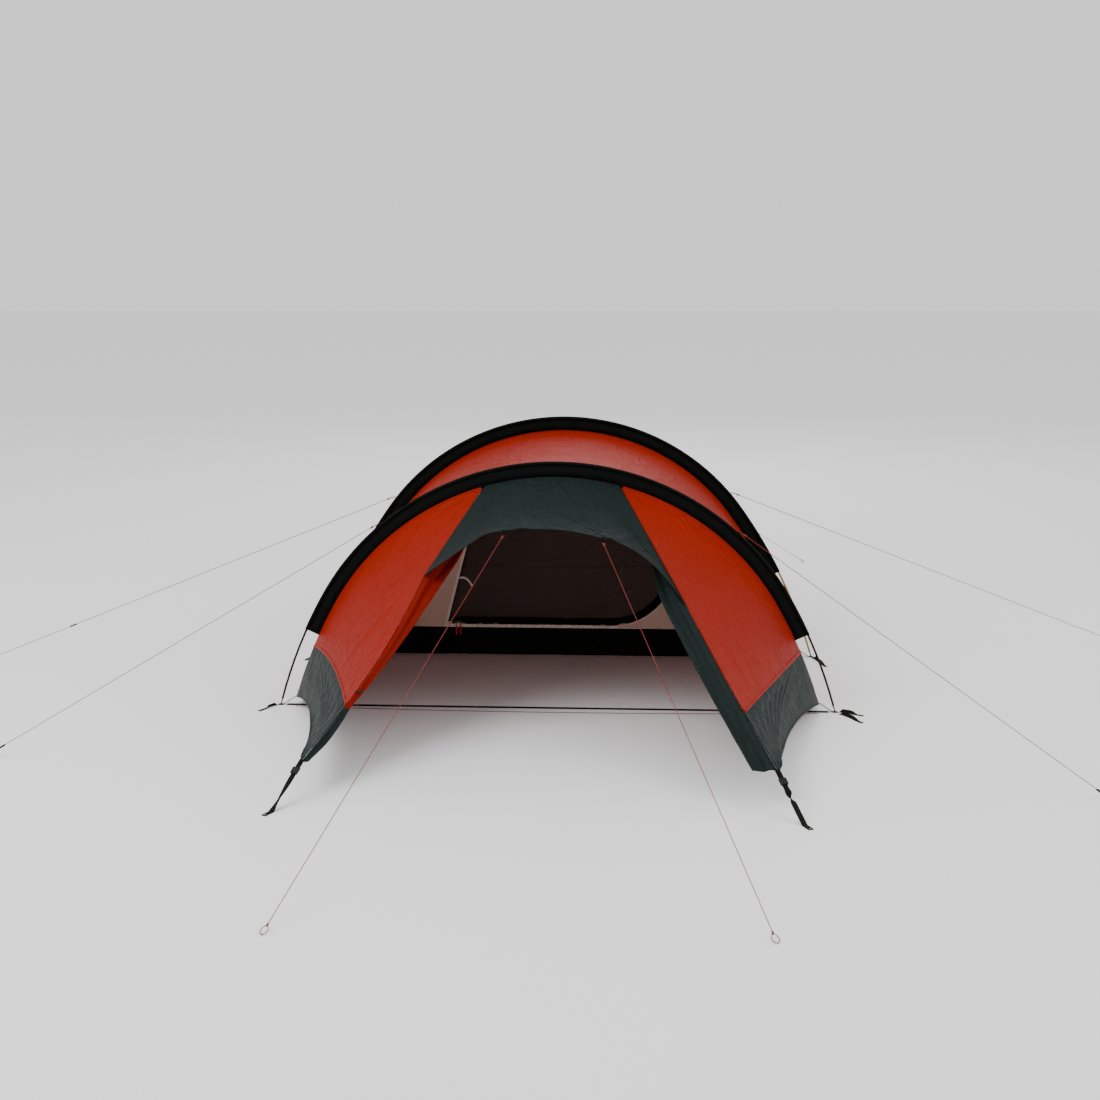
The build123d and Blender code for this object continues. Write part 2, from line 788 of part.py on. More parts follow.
poles()
sleeve("front_sleeve", front, front_sleeve_end)
sleeve("mid_sleeve", mid, mid_sleeve_end)
sleeve("rear_sleeve", rear, rear_sleeve_end)
fly()
porch_panel(-1, "left_porch_panel", "left_corner_patch")
porch_panel(1, "right_porch_panel", "right_corner_patch")
hood()
edge_strip("left_edge_strip", -1, left_strip_start, left_strip_end, left_strip)
edge_strip("rolled_door_strip", 1, right_strip_start, right_strip_end, right_strip)
corners()
feet()
tensioners()
guys()
porch_cord()
groundsheet()
inner_body()
face_y = front_wall()
sliders(face_y)
tie_back()
hangers()
toggle()
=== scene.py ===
import bpy
import bmesh
import json
from math import acos, asin, atan2, cos, exp, pi, radians, sin, sqrt
from mathutils import Matrix, Vector, noise


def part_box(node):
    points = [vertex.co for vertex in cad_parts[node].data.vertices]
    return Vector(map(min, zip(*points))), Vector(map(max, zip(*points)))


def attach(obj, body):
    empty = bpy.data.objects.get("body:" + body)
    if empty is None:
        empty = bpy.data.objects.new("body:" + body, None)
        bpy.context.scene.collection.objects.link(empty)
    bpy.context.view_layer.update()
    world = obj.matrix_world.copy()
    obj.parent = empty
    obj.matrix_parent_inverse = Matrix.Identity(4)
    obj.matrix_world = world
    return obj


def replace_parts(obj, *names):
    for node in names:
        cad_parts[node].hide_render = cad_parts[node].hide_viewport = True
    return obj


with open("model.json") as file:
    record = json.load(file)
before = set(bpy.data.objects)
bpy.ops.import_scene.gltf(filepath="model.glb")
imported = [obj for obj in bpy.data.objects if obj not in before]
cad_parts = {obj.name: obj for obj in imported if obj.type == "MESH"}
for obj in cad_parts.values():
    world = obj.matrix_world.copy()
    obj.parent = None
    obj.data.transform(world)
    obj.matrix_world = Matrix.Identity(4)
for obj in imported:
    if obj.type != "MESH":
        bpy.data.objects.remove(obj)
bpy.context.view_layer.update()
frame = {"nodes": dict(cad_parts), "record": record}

nodes = frame["nodes"]


# The camera is at the eye height of a standing person in front of the porch
cameraView = {"place": (0.304, -7.533, 1.764), "down": 11.196, "turn": 3.25, "roll": -0.155, "lens": 49.09}


def makeCamera(view):
    data = bpy.data.cameras.new("viewCamera")
    data.lens = view["lens"]
    data.sensor_width = 36
    data.clip_end = 60
    camera = bpy.data.objects.new("viewCamera", data)
    bpy.context.scene.collection.objects.link(camera)
    turn = Matrix.Rotation(radians(view["turn"]), 4, "Z")
    tilt = Matrix.Rotation(radians(90 - view["down"]), 4, "X")
    roll = Matrix.Rotation(radians(view["roll"]), 4, "Z")
    camera.matrix_world = Matrix.Translation(view["place"]) @ turn @ tilt @ roll
    bpy.context.scene.camera = camera


makeCamera(cameraView)


# Shader groups that several finishes share
def newGroup(name, inputs, outputs):
    group = bpy.data.node_groups.new(name, "ShaderNodeTree")
    for label, kind, value in inputs:
        socket = group.interface.new_socket(label, in_out="INPUT", socket_type=kind)
        if value is not None:
            socket.default_value = value
    for label, kind in outputs:
        group.interface.new_socket(label, in_out="OUTPUT", socket_type=kind)
    return group, group.nodes.new("NodeGroupInput"), group.nodes.new("NodeGroupOutput")


def addNode(tree, kind, settings=None, **values):
    node = tree.nodes.new(kind)
    for key, value in (settings or {}).items():
        setattr(node, key, value)
    for key, value in values.items():
        node.inputs[key.replace("_", " ")].default_value = value
    return node


def mathNode(tree, operation, a, b=None, c=None):
    node = tree.nodes.new("ShaderNodeMath")
    node.operation = operation
    for i, value in enumerate((a, b, c)):
        if value is None:
            continue
        if isinstance(value, (int, float)):
            node.inputs[i].default_value = value
        else:
            tree.links.new(value, node.inputs[i])
    return node.outputs[0]


def weaveGroup():  # plain weave with a raised ripstop grid, in metres along the cloth
    group, enter, leave = newGroup(
        "weave",
        [
            ("Vector", "NodeSocketVector", None),
            ("Thread", "NodeSocketFloat", 900.0),
            ("Grid", "NodeSocketFloat", 180.0),
        ],
        [("Height", "NodeSocketFloat"), ("Line", "NodeSocketFloat")],
    )
    split = group.nodes.new("ShaderNodeSeparateXYZ")
    group.links.new(enter.outputs["Vector"], split.inputs[0])
    across = mathNode(group, "MULTIPLY", split.outputs[0], enter.outputs["Thread"])
    along = mathNode(group, "MULTIPLY", split.outputs[1], enter.outputs["Thread"])
    warp = mathNode(group, "SINE", mathNode(group, "MULTIPLY", across, pi))
    weft = mathNode(group, "SINE", mathNode(group, "MULTIPLY", along, pi))
    threads = mathNode(group, "MULTIPLY", warp, weft)
    lines = []
    for axis in (0, 1):
        cell = mathNode(
            group, "FRACT", mathNode(group, "MULTIPLY", split.outputs[axis], enter.outputs["Grid"])
        )
        lines.append(mathNode(group, "LESS_THAN", cell, 0.12))
    line = mathNode(group, "MAXIMUM", *lines)
    height = mathNode(group, "ADD", mathNode(group, "MULTIPLY", threads, 0.5), line)
    group.links.new(height, leave.inputs["Height"])
    group.links.new(line, leave.inputs["Line"])
    return group


def creaseGroup():  # soft handling creases and fine pucker in thin cloth
    group, enter, leave = newGroup(
        "creases",
        [("Vector", "NodeSocketVector", None), ("Scale", "NodeSocketFloat", 1.0)],
        [("Height", "NodeSocketFloat"), ("Shade", "NodeSocketFloat")],
    )
    warp = addNode(group, "ShaderNodeTexNoise", Scale=5.0, Detail=3.0)
    group.links.new(enter.outputs["Vector"], warp.inputs["Vector"])
    mix = group.nodes.new("ShaderNodeMixRGB")
    mix.inputs[0].default_value = 0.12
    group.links.new(enter.outputs["Vector"], mix.inputs[1])
    group.links.new(warp.outputs["Color"], mix.inputs[2])
    heights = []
    for scale, share in ((9.0, 1.0), (23.0, 0.5)):
        cells = addNode(group, "ShaderNodeTexVoronoi", {"feature": "DISTANCE_TO_EDGE"})
        group.links.new(mathNode(group, "MULTIPLY", enter.outputs["Scale"], scale), cells.inputs["Scale"])
        group.links.new(mix.outputs[0], cells.inputs["Vector"])
        ridge = mathNode(group, "SUBTRACT", 1.0, mathNode(group, "MULTIPLY", cells.outputs["Distance"], 9.0))
        ridge.node.use_clamp = True
        heights.append(mathNode(group, "MULTIPLY", ridge, share))
    broad = addNode(group, "ShaderNodeTexNoise", Detail=6.0, Roughness=0.6)
    group.links.new(enter.outputs["Vector"], broad.inputs["Vector"])
    group.links.new(mathNode(group, "MULTIPLY", enter.outputs["Scale"], 16.0), broad.inputs["Scale"])
    total = mathNode(group, "ADD", mathNode(group, "ADD", *heights), broad.outputs["Fac"])
    group.links.new(mathNode(group, "MULTIPLY", total, 0.5), leave.inputs["Height"])
    group.links.new(broad.outputs["Fac"], leave.inputs["Shade"])
    return group


def dustGroup():  # faint fading and dust, stronger near the ground
    group, enter, leave = newGroup(
        "dust",
        [("Vector", "NodeSocketVector", None), ("Amount", "NodeSocketFloat", 0.2)],
        [("Mask", "NodeSocketFloat"), ("Tone", "NodeSocketFloat")],
    )
    split = group.nodes.new("ShaderNodeSeparateXYZ")
    group.links.new(enter.outputs["Vector"], split.inputs[0])
    low = mathNode(group, "SUBTRACT", 1.0, mathNode(group, "MULTIPLY", split.outputs[2], 4.0))
    low.node.use_clamp = True
    spots = addNode(group, "ShaderNodeTexNoise", Scale=38.0, Detail=5.0, Roughness=0.65)
    tone = addNode(group, "ShaderNodeTexNoise", Scale=2.2, Detail=4.0)
    for node in (spots, tone):
        group.links.new(enter.outputs["Vector"], node.inputs["Vector"])
    mask = mathNode(
        group, "MULTIPLY", mathNode(group, "MULTIPLY", low, spots.outputs["Fac"]), enter.outputs["Amount"]
    )
    group.links.new(mask, leave.inputs["Mask"])
    group.links.new(tone.outputs["Fac"], leave.inputs["Tone"])
    return group


shared = {"weave": weaveGroup(), "creases": creaseGroup(), "dust": dustGroup()}


def placeGroup(tree, name, **values):
    node = tree.nodes.new("ShaderNodeGroup")
    node.node_tree = shared[name]
    for key, value in values.items():
        node.inputs[key].default_value = value
    return node


def newMaterial(name, roughness, metallic=0.0):
    material = bpy.data.materials.new(name)
    material.use_nodes = True
    shader = material.node_tree.nodes["Principled BSDF"]
    shader.inputs["Roughness"].default_value = roughness
    shader.inputs["Metallic"].default_value = metallic
    return material, material.node_tree, shader


def blendColour(tree, factor, one, two):
    mix = tree.nodes.new("ShaderNodeMix")
    mix.data_type = "RGBA"
    tree.links.new(factor, mix.inputs[0])
    for socket, value in ((mix.inputs[6], one), (mix.inputs[7], two)):
        if isinstance(value, tuple):
            socket.default_value = (*value, 1)
        else:
            tree.links.new(value, socket)
    return mix.outputs[2]


finishes = {
    "flyOrange": {
        "colour": (0.225, 0.0072, 0.0014), "pale": (0.275, 0.0110, 0.0026),
        "rough": 0.50, "crease": 0.010,
    },
    # darker copy of the fly orange: painted shade for the folded strip that turns back into the tent
    "flyShadedOrange": {
        "colour": (0.150, 0.0038, 0.0008), "pale": (0.180, 0.0056, 0.0014),
        "rough": 0.60, "crease": 0.010,
    },
    "flyGrey": {
        "colour": (0.0072, 0.0132, 0.0122), "pale": (0.0110, 0.0185, 0.0170),
        "rough": 0.50, "crease": 0.012,
    },
    "sleeveBlack": {
        "colour": (0.0012, 0.0020, 0.0015), "pale": (0.0022, 0.0034, 0.0026),
        "rough": 0.65, "crease": 0.006,
    },
    "tubBlack": {
        "colour": (0.0010, 0.0014, 0.0010), "pale": (0.0020, 0.0026, 0.0020),
        "rough": 0.55, "crease": 0.008,
    },
    "innerTaupe": {
        "colour": (0.640, 0.420, 0.340), "pale": (0.720, 0.500, 0.410),
        "rough": 0.80, "crease": 0.012,
    },
    "tapeCream": {
        "colour": (0.780, 0.620, 0.520), "pale": (0.860, 0.740, 0.650),
        "rough": 0.85, "crease": 0.005,
    },
    "zipBlack": {
        "colour": (0.0012, 0.0013, 0.0010), "pale": (0.0030, 0.0030, 0.0026),
        "rough": 0.75, "crease": 0.005,
    },
}


def clothMaterial(name, finish, thread=900.0, grid=180.0):
    material, tree, shader = newMaterial(name, finish["rough"])
    coordinates = tree.nodes.new("ShaderNodeTexCoord")
    weave = placeGroup(tree, "weave", Thread=thread, Grid=grid)
    creases = placeGroup(tree, "creases", Scale=1.0)
    dust = placeGroup(tree, "dust", Amount=0.02)
    tree.links.new(coordinates.outputs["UV"], weave.inputs["Vector"])
    tree.links.new(coordinates.outputs["Object"], creases.inputs["Vector"])
    tree.links.new(coordinates.outputs["Object"], dust.inputs["Vector"])
    toned = blendColour(tree, dust.outputs["Tone"], finish["colour"], finish["pale"])
    shade = mathNode(tree, "MULTIPLY", weave.outputs["Line"], 0.18)
    ripped = blendColour(tree, shade, toned, finish["pale"])
    dusty = blendColour(tree, dust.outputs["Mask"], ripped, (0.28, 0.24, 0.19))
    tree.links.new(dusty, shader.inputs["Base Color"])
    rough = mathNode(
        tree, "ADD", mathNode(tree, "MULTIPLY", creases.outputs["Shade"], 0.16), finish["rough"] - 0.08
    )
    tree.links.new(rough, shader.inputs["Roughness"])
    fine = tree.nodes.new("ShaderNodeBump")
    fine.inputs["Distance"].default_value = 0.00008
    fine.inputs["Strength"].default_value = 0.6
    broad = tree.nodes.new("ShaderNodeBump")
    broad.inputs["Distance"].default_value = finish["crease"]
    broad.inputs["Strength"].default_value = 0.35
    tree.links.new(creases.outputs["Height"], broad.inputs["Height"])
    tree.links.new(weave.outputs["Height"], fine.inputs["Height"])
    tree.links.new(broad.outputs["Normal"], fine.inputs["Normal"])
    tree.links.new(fine.outputs["Normal"], shader.inputs["Normal"])
    shader.inputs["Specular IOR Level"].default_value = 0.07
    return material


def webbingMaterial(name, colour, pale, rib=420.0):
    material, tree, shader = newMaterial(name, 0.75)
    coordinates = tree.nodes.new("ShaderNodeTexCoord")
    wave = addNode(tree, "ShaderNodeTexWave", {"bands_direction": "Y"}, Scale=rib, Distortion=0.4)
    tree.links.new(coordinates.outputs["UV"], wave.inputs["Vector"])
    dust = placeGroup(tree, "dust", Amount=0.06)
    tree.links.new(coordinates.outputs["Object"], dust.inputs["Vector"])
    ribbed = blendColour(tree, wave.outputs["Fac"], colour, pale)
    tree.links.new(
        blendColour(tree, dust.outputs["Mask"], ribbed, (0.25, 0.21, 0.17)), shader.inputs["Base Color"]
    )
    bump = tree.nodes.new("ShaderNodeBump")
    bump.inputs["Distance"].default_value = 0.0003
    tree.links.new(wave.outputs["Fac"], bump.inputs["Height"])
    tree.links.new(bump.outputs["Normal"], shader.inputs["Normal"])
    shader.inputs["Specular IOR Level"].default_value = 0.07
    return material


def cordMaterial(name, colour, pale):  # braided sheath: two sets of diagonal ridges
    material, tree, shader = newMaterial(name, 0.65)
    coordinates = tree.nodes.new("ShaderNodeTexCoord")
    waves = []
    for turn in (0.7, -0.7):
        spin = addNode(tree, "ShaderNodeMapping")
        spin.inputs["Rotation"].default_value = (turn, turn, 0.3)
        tree.links.new(coordinates.outputs["Object"], spin.inputs["Vector"])
        wave = addNode(tree, "ShaderNodeTexWave", {"bands_direction": "DIAGONAL"}, Scale=320.0)
        tree.links.new(spin.outputs[0], wave.inputs["Vector"])
        waves.append(wave.outputs["Fac"])
    braid = mathNode(tree, "MULTIPLY", *waves)
    tree.links.new(blendColour(tree, braid, colour, pale), shader.inputs["Base Color"])
    bump = tree.nodes.new("ShaderNodeBump")
    bump.inputs["Distance"].default_value = 0.0003
    tree.links.new(braid, bump.inputs["Height"])
    tree.links.new(bump.outputs["Normal"], shader.inputs["Normal"])
    return material


def hardMaterial(name, colour, rough, metallic=0.0, scratch=0.05):
    material, tree, shader = newMaterial(name, rough, metallic)
    shader.inputs["Specular IOR Level"].default_value = 0.25
    coordinates = tree.nodes.new("ShaderNodeTexCoord")
    grain = addNode(tree, "ShaderNodeTexNoise", Scale=240.0, Detail=5.0)
    tree.links.new(coordinates.outputs["Object"], grain.inputs["Vector"])
    pale = tuple(min(1.0, c * 1.35 + 0.0015) for c in colour)
    tree.links.new(blendColour(tree, grain.outputs["Fac"], colour, pale), shader.inputs["Base Color"])
    worn = mathNode(tree, "ADD", mathNode(tree, "MULTIPLY", grain.outputs["Fac"], 0.2), rough - 0.1)
    tree.links.new(worn, shader.inputs["Roughness"])
    bump = tree.nodes.new("ShaderNodeBump")
    bump.inputs["Distance"].default_value = 0.0001
    bump.inputs["Strength"].default_value = scratch * 4
    tree.links.new(grain.outputs["Fac"], bump.inputs["Height"])
    tree.links.new(bump.outputs["Normal"], shader.inputs["Normal"])
    return material


def meshMaterial(name):  # fine dark netting that lets a little of the room show through
    material, tree, shader = newMaterial(name, 0.7)
    coordinates = tree.nodes.new("ShaderNodeTexCoord")
    tone = placeGroup(tree, "dust", Amount=0.0)
    tree.links.new(coordinates.outputs["Object"], tone.inputs["Vector"])
    colour = blendColour(tree, tone.outputs["Tone"], (0.040, 0.0190, 0.0125), (0.056, 0.0280, 0.0185))
    tree.links.new(colour, shader.inputs["Base Color"])
    weave = placeGroup(tree, "weave", Thread=650.0, Grid=650.0)
    tree.links.new(coordinates.outputs["UV"], weave.inputs["Vector"])
    tree.links.new(
        mathNode(tree, "ADD", mathNode(tree, "MULTIPLY", weave.outputs["Line"], 0.12), 0.80),
        shader.inputs["Alpha"],
    )
    return material


materials = {name: clothMaterial(name, finish) for name, finish in finishes.items()}
materials["webbing"] = webbingMaterial("webbing", (0.0016, 0.0016, 0.0014), (0.0050, 0.0050, 0.0045))
materials["redTape"] = webbingMaterial("redTape", (0.62, 0.020, 0.010), (0.78, 0.045, 0.024), 900.0)
materials["guyCord"] = cordMaterial("guyCord", (0.17, 0.005, 0.0012), (0.24, 0.012, 0.003))
materials["elastic"] = cordMaterial("elastic", (0.02, 0.02, 0.02), (0.08, 0.08, 0.08))
materials["poleDark"] = hardMaterial("poleDark", (0.004, 0.004, 0.004), 0.45, 0.3)
materials["poleGold"] = hardMaterial("poleGold", (0.30, 0.22, 0.05), 0.35, 0.9)
materials["blackPlastic"] = hardMaterial("blackPlastic", (0.0018, 0.0018, 0.0018), 0.55)
materials["darkMetal"] = hardMaterial("darkMetal", (0.05, 0.045, 0.04), 0.4, 1.0)
materials["net"] = meshMaterial("net")
print("materials ready")


# Cloth is made from grids
def finishPiece(name, bm, material, body="tent", solid=0.0, smooth=True, levels=0):
    mesh = bpy.data.meshes.new(name)
    bm.to_mesh(mesh)
    bm.free()
    mesh.materials.append(materials[material])
    for face in mesh.polygons:
        face.use_smooth = smooth
    piece = bpy.data.objects.new(name, mesh)
    bpy.context.scene.collection.objects.link(piece)
    if levels:
        rounded = piece.modifiers.new("rounded", "SUBSURF")
        rounded.levels = levels
        rounded.render_levels = levels
    if solid:
        wall = piece.modifiers.new("wall", "SOLIDIFY")
        wall.thickness = solid
        wall.offset = 0
    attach(piece, body)
    return piece


hemRise = 0.0012  # how far the second layer of cloth stands off the first at a hem


# a grid set on place(s, t), raised by lift(s, t), with a second layer of cloth at each hem
def clothGrid(across, along, place, outward, lift=None, hems=()):
    bm = bmesh.new()
    uv = bm.loops.layers.uv.new("UVMap")
    bmesh.ops.create_grid(bm, x_segments=across, y_segments=along, size=0.5, calc_uvs=True)
    shares = {v: (v.co.x + 0.5, v.co.y + 0.5) for v in bm.verts}
    for v, (s, t) in shares.items():
        v.co = place(s, t)
    bm.normal_update()
    middle = min(bm.verts, key=lambda v: abs(shares[v][0] - 0.5) + abs(shares[v][1] - 0.5))
    if middle.normal.dot(outward(middle.co)) < 0:
        bmesh.ops.reverse_faces(bm, faces=bm.faces)
        bm.normal_update()
    width = max(lineLength([place(i / 12, t) for i in range(13)]) for t in (0, 0.5, 1))
    length = max(lineLength([place(s, i / 12) for i in range(13)]) for s in (0, 0.5, 1))
    area = sum(face.calc_area() for face in bm.faces)
    for face in bm.faces:
        for loop in face.loops:
            s, t = shares[loop.vert]
            loop[uv].uv = (s * width, t * length)
    if lift:
        for v, (s, t) in shares.items():
            v.co = v.co + v.normal * lift(s, t)
    for axis, low, high in hems:
        band = [f for f in bm.faces if all(v in shares and low <= shares[v][axis] <= high for v in f.verts)]
        layer = bmesh.ops.duplicate(bm, geom=band)["geom"]
        bm.normal_update()
        for v in layer:
            if isinstance(v, bmesh.types.BMVert):
                v.co = v.co + v.normal * hemRise
    return bm, (width, length), min(area, 0.999 * width * length)


def lineLength(points):
    return sum((b - a).length for a, b in zip(points, points[1:]))


def clothPiece(
    name, material, across, along, place, outward, lift,
    solid=0.0006, body="tent", hems=(),
):
    bm, flat, area = clothGrid(across, along, place, outward, lift, hems)
    piece = finishPiece(name, bm, material, body, solid)
    max(area, 0.301 * flat[0] * flat[1])
    return piece


def ripple(s, t, scale, seed):
    return noise.noise(Vector((s * scale, t * scale, seed)))


# A fold is a soft ridge between two places on a cloth: (s, t) from and to, half-width and height
def foldHeight(s, t, folds):
    total = 0.0
    for s0, t0, s1, t1, width, height in folds:
        ds, dt = s1 - s0, t1 - t0
        k = ((s - s0) * ds + (t - t0) * dt) / (ds * ds + dt * dt)
        if -0.15 < k < 1.15:
            off = abs((s - s0) * dt - (t - t0) * ds) / sqrt(ds * ds + dt * dt)
            if off < 4 * width:
                fade = sin(pi * min(1, max(0, (k + 0.15) / 1.3)))
                total += height * fade * exp(-((off / width) ** 2))
    return total


# The hooped shape, in metres
class Arch:
    def __init__(self, y, half, height, knee, foot):
        a, b = radians(knee), radians(foot)
        spread, drop = sin(b) - sin(a), cos(a) - cos(b)
        scale = sin(a) * drop - spread * (1 - cos(a))
        self.y, self.knee = y, a
        self.topR = (half * drop - spread * height) / scale
        self.sideR = (sin(a) * height - (1 - cos(a)) * half) / scale
        self.topZ = height - self.topR
        self.sideX = (self.topR - self.sideR) * sin(a)
        self.sideZ = self.topZ + (self.topR - self.sideR) * cos(a)

    def at(self, angle, inset=0.0, y=None):
        side = -1 if angle < 0 else 1
        turn = abs(angle)
        place = self.y if y is None else y
        if turn <= self.knee:
            r = self.topR - inset
            return Vector((side * r * sin(turn), place, self.topZ + r * cos(turn)))
        r = self.sideR - inset
        return Vector((side * (self.sideX + r * sin(turn)), place, self.sideZ + r * cos(turn)))

    def angleAtHeight(self, z, inset=0.0):
        ratio = (z - self.sideZ) / (self.sideR - inset)
        if ratio <= 1 and acos(ratio) >= self.knee:
            return acos(ratio)
        return acos((z - self.topZ) / (self.topR - inset))

    def angleAtWidth(self, x, inset=0.0):
        angle = asin(x / (self.topR - inset))
        return angle if angle <= self.knee else asin((x - self.sideX) / (self.sideR - inset))


tentPlan = {"frontY": -1.848, "midY": -1.028, "rearY": 0.472, "tailY": 1.302, "wallY": -1.050, "backY": 1.050}
hoops = {
    "front": Arch(tentPlan["frontY"], 1.100, 0.980, 60.2, 74.8),
    "mid": Arch(tentPlan["midY"], 1.100, 1.065, 54.2, 73.7),
    "rear": Arch(tentPlan["rearY"], 0.900, 0.740, 56.0, 74.0),
    "tail": Arch(tentPlan["tailY"], 0.740, 0.310, 30.0, 75.0),
    "innerFoot": Arch(tentPlan["backY"], 0.690, 0.345, 30.0, 75.0),
}
sleeveDepth = 0.056
flyInset = sleeveDepth + 0.0009


# Guy lines come first, because the room that they take is settled with the camera
guyLines = {
    "diameter": 0.0025,
    "loopLength": 0.036,
    "loopHalf": 0.011,
    "ends": {
        "front_left_guy": (-2.010, -2.553),
        "front_right_guy": (1.885, -2.835),
        "mid_left_guy": (-2.560, -1.285),
        "mid_right_guy": (2.530, -0.730),
        "rear_left_guy": (-1.293, 1.069),
        "rear_right_guy": (1.293, 1.069),
        "hood_left_guy": (-0.668, -3.898),
        "hood_right_guy": (0.686, -3.880),
    },
}


def cordCurve(name, points, diameter, material):
    data = bpy.data.curves.new(name, "CURVE")
    data.dimensions = "3D"
    data.resolution_u = 6
    data.bevel_depth = diameter / 2
    data.bevel_resolution = 2
    data.use_fill_caps = True
    spline = data.splines.new("NURBS")
    spline.points.add(len(points) - 1)
    for knot, point in zip(spline.points, points):
        knot.co = (*point, 1)
    spline.order_u = 3
    spline.use_endpoint_u = True
    data.materials.append(materials[material])
    piece = bpy.data.objects.new(name, data)
    bpy.context.scene.collection.objects.link(piece)
    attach(piece, "tent")
    return piece


def guyStart(name):  # the end of the line on its tab is the highest place of its CAD tube
    points = [v.co for v in nodes[name].data.vertices]
    top = max(p.z for p in points)
    ring = [p for p in points if p.z > top - 0.003]
    return sum(ring, Vector()) / len(ring)


def guyRoute(start, end, plan):
    tip = Vector((*end, plan["diameter"] / 2 + 0.0006))
    ahead = (tip - start).normalized()
    across = ahead.cross(Vector((0, 0, 1))).normalized()
    neck = tip - ahead * plan["loopLength"]
    reach, half = plan["loopLength"], plan["loopHalf"]
    loop = [(0.42, 1.0), (0.86, 0.75), (0.98, -0.1), (0.80, -0.85), (0.40, -1.0)]
    turns = [neck + ahead * reach * a + across * half * b for a, b in loop]
    last = neck + ahead * 0.005 - across * 0.0033
    return [start, neck - ahead * 0.015, neck, *turns, last], ahead, neck


def knotPiece(name, place, ahead, size):  # a small overhand knot, as three rounded turns of cord
    bm = bmesh.new()
    side = ahead.cross(Vector((0, 0, 1))).normalized()
    up = side.cross(ahead).normalized()
    for k in range(3):
        bead = bmesh.ops.create_uvsphere(bm, u_segments=14, v_segments=8, radius=size)["verts"]
        bmesh.ops.scale(bm, vec=(1.25, 0.8, 0.8), verts=bead)
        turn = Matrix((ahead, side, up)).transposed().to_4x4() @ Matrix.Rotation(0.7 * (k - 1), 4, "Z")
        bmesh.ops.transform(
            bm, matrix=Matrix.Translation(place + ahead * size * 0.8 * (k - 1)) @ turn, verts=bead
        )
    return finishPiece(name, bm, "guyCord")


def makeGuys(plan):
    for name, end in plan["ends"].items():
        start = guyStart(name)
        points, ahead, neck = guyRoute(start, end, plan)
        piece = cordCurve(name + "_line", points, plan["diameter"], "guyCord")
        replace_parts(piece, name)
        knots = [knotPiece(name + "_top_knot", start + ahead * 0.012, ahead, 0.0042)]
        knots.append(knotPiece(name + "_loop_knot", neck, ahead, 0.0034))


makeGuys(guyLines)

porchCord = {"diameter": 0.0025, "half": 1.030, "y": -1.848, "z": 0.00135}


def makePorchCord(plan):
    x, y, z = plan["half"], plan["y"], plan["z"]
    route = [(-x, -0.022), (-x * 0.56, -0.062), (x * 0.66, -0.058), (x, -0.022)]
    points = [Vector((px, y + py, z)) for px, py in route]
    piece = cordCurve("porch_floor_cord", points, plan["diameter"], "guyCord")
    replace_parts(piece, "porch_cord")


makePorchCord(porchCord)
print("cords made")


# Flysheet between the hoops
def upAndOut(centre):
    return lambda co: Vector((co.x - centre.x, 0, co.z - centre.z + 0.2))


flyCut = {"sag": 0.028, "pucker": 0.0016, "crumple": 0.0022, "hem": 0.030}


def flyPanel(name, one, two, oneY, twoY, oneInset, twoInset, plan, seed, across=150, along=46):
    a, b = hoops[one], hoops[two]
    aEnd, bEnd = a.angleAtHeight(plan["hem"], oneInset), b.angleAtHeight(plan["hem"], twoInset)

    def place(s, t):
        k = 2 * s - 1
        low = a.at(k * aEnd, oneInset, oneY)
        high = b.at(k * bEnd, twoInset, twoY)
        return low.lerp(high, t)

    def lift(s, t):
        k = abs(2 * s - 1)
        edge = 4 * t * (1 - t)
        sag = -plan["sag"] * edge * (1 - 0.25 * k)
        near = exp(-t / 0.09) + exp(-(1 - t) / 0.09)
        pucker = (
            plan["pucker"] * near * sin(2 * pi * 42 * s + 2.2 * ripple(s, t, 9, seed))
            * min(1, 30 * t * (1 - t))
        )
        soft = (
            plan["crumple"] * ripple(s, t, 7, seed + 4)
            + plan["crumple"] * 0.6 * ripple(s, t, 19, seed + 9)
        )
        pull = 0.003 * sin(pi * t) * ripple(s * 6, t * 0.7, 5, seed + 2) * k
        return sag + pucker + (soft + pull) * min(1, 12 * t * (1 - t))

    return clothPiece(
        name, "flyOrange", across, along, place, upAndOut(Vector((0, 0, 0.2))), lift,
        hems=((0, -0.001, 0.0075), (0, 0.9925, 1.001)),
    )


seam = 0.0006
porchFly = flyPanel(
    "fly_porch_cloth", "front", "mid", tentPlan["frontY"] + seam, tentPlan["midY"] - seam,
    flyInset, flyInset, flyCut, 3.1
)
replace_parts(porchFly, "fly_porch")
cabinFly = flyPanel(
    "fly_cabin_cloth", "mid", "rear", tentPlan["midY"] + seam, tentPlan["rearY"] - seam, flyInset, flyInset,
    {**flyCut, "sag": 0.040}, 5.7, 150, 70,
)
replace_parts(cabinFly, "fly_cabin")
tailFly = flyPanel(
    "fly_tail_cloth", "rear", "tail", tentPlan["rearY"] + seam, tentPlan["tailY"],
    flyInset, 0.0006, flyCut, 8.3, 130, 46
)
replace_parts(tailFly, "fly_tail")


def tailEnd():  # the low upright cloth at the foot end
    arch = hoops["tail"]
    hem = flyCut["hem"]
    end = arch.angleAtHeight(hem)

    def place(s, t):
        top = arch.at((2 * s - 1) * end, 0.0008, tentPlan["tailY"] + 0.0016)
        return Vector((top.x, top.y, hem + (top.z - hem) * t))

    def lift(s, t):
        return 0.010 * sin(pi * s) * t * (1 - t) * 4 * -1 + 0.003 * ripple(s, t, 6, 2.0) * t

    piece = clothPiece(
        "fly_tail_end_cloth", "flyOrange", 90, 20, place, lambda co: Vector((0, 1, 0)), lift,
    )
    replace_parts(piece, "fly_tail_end")


tailEnd()
print("flysheet made")

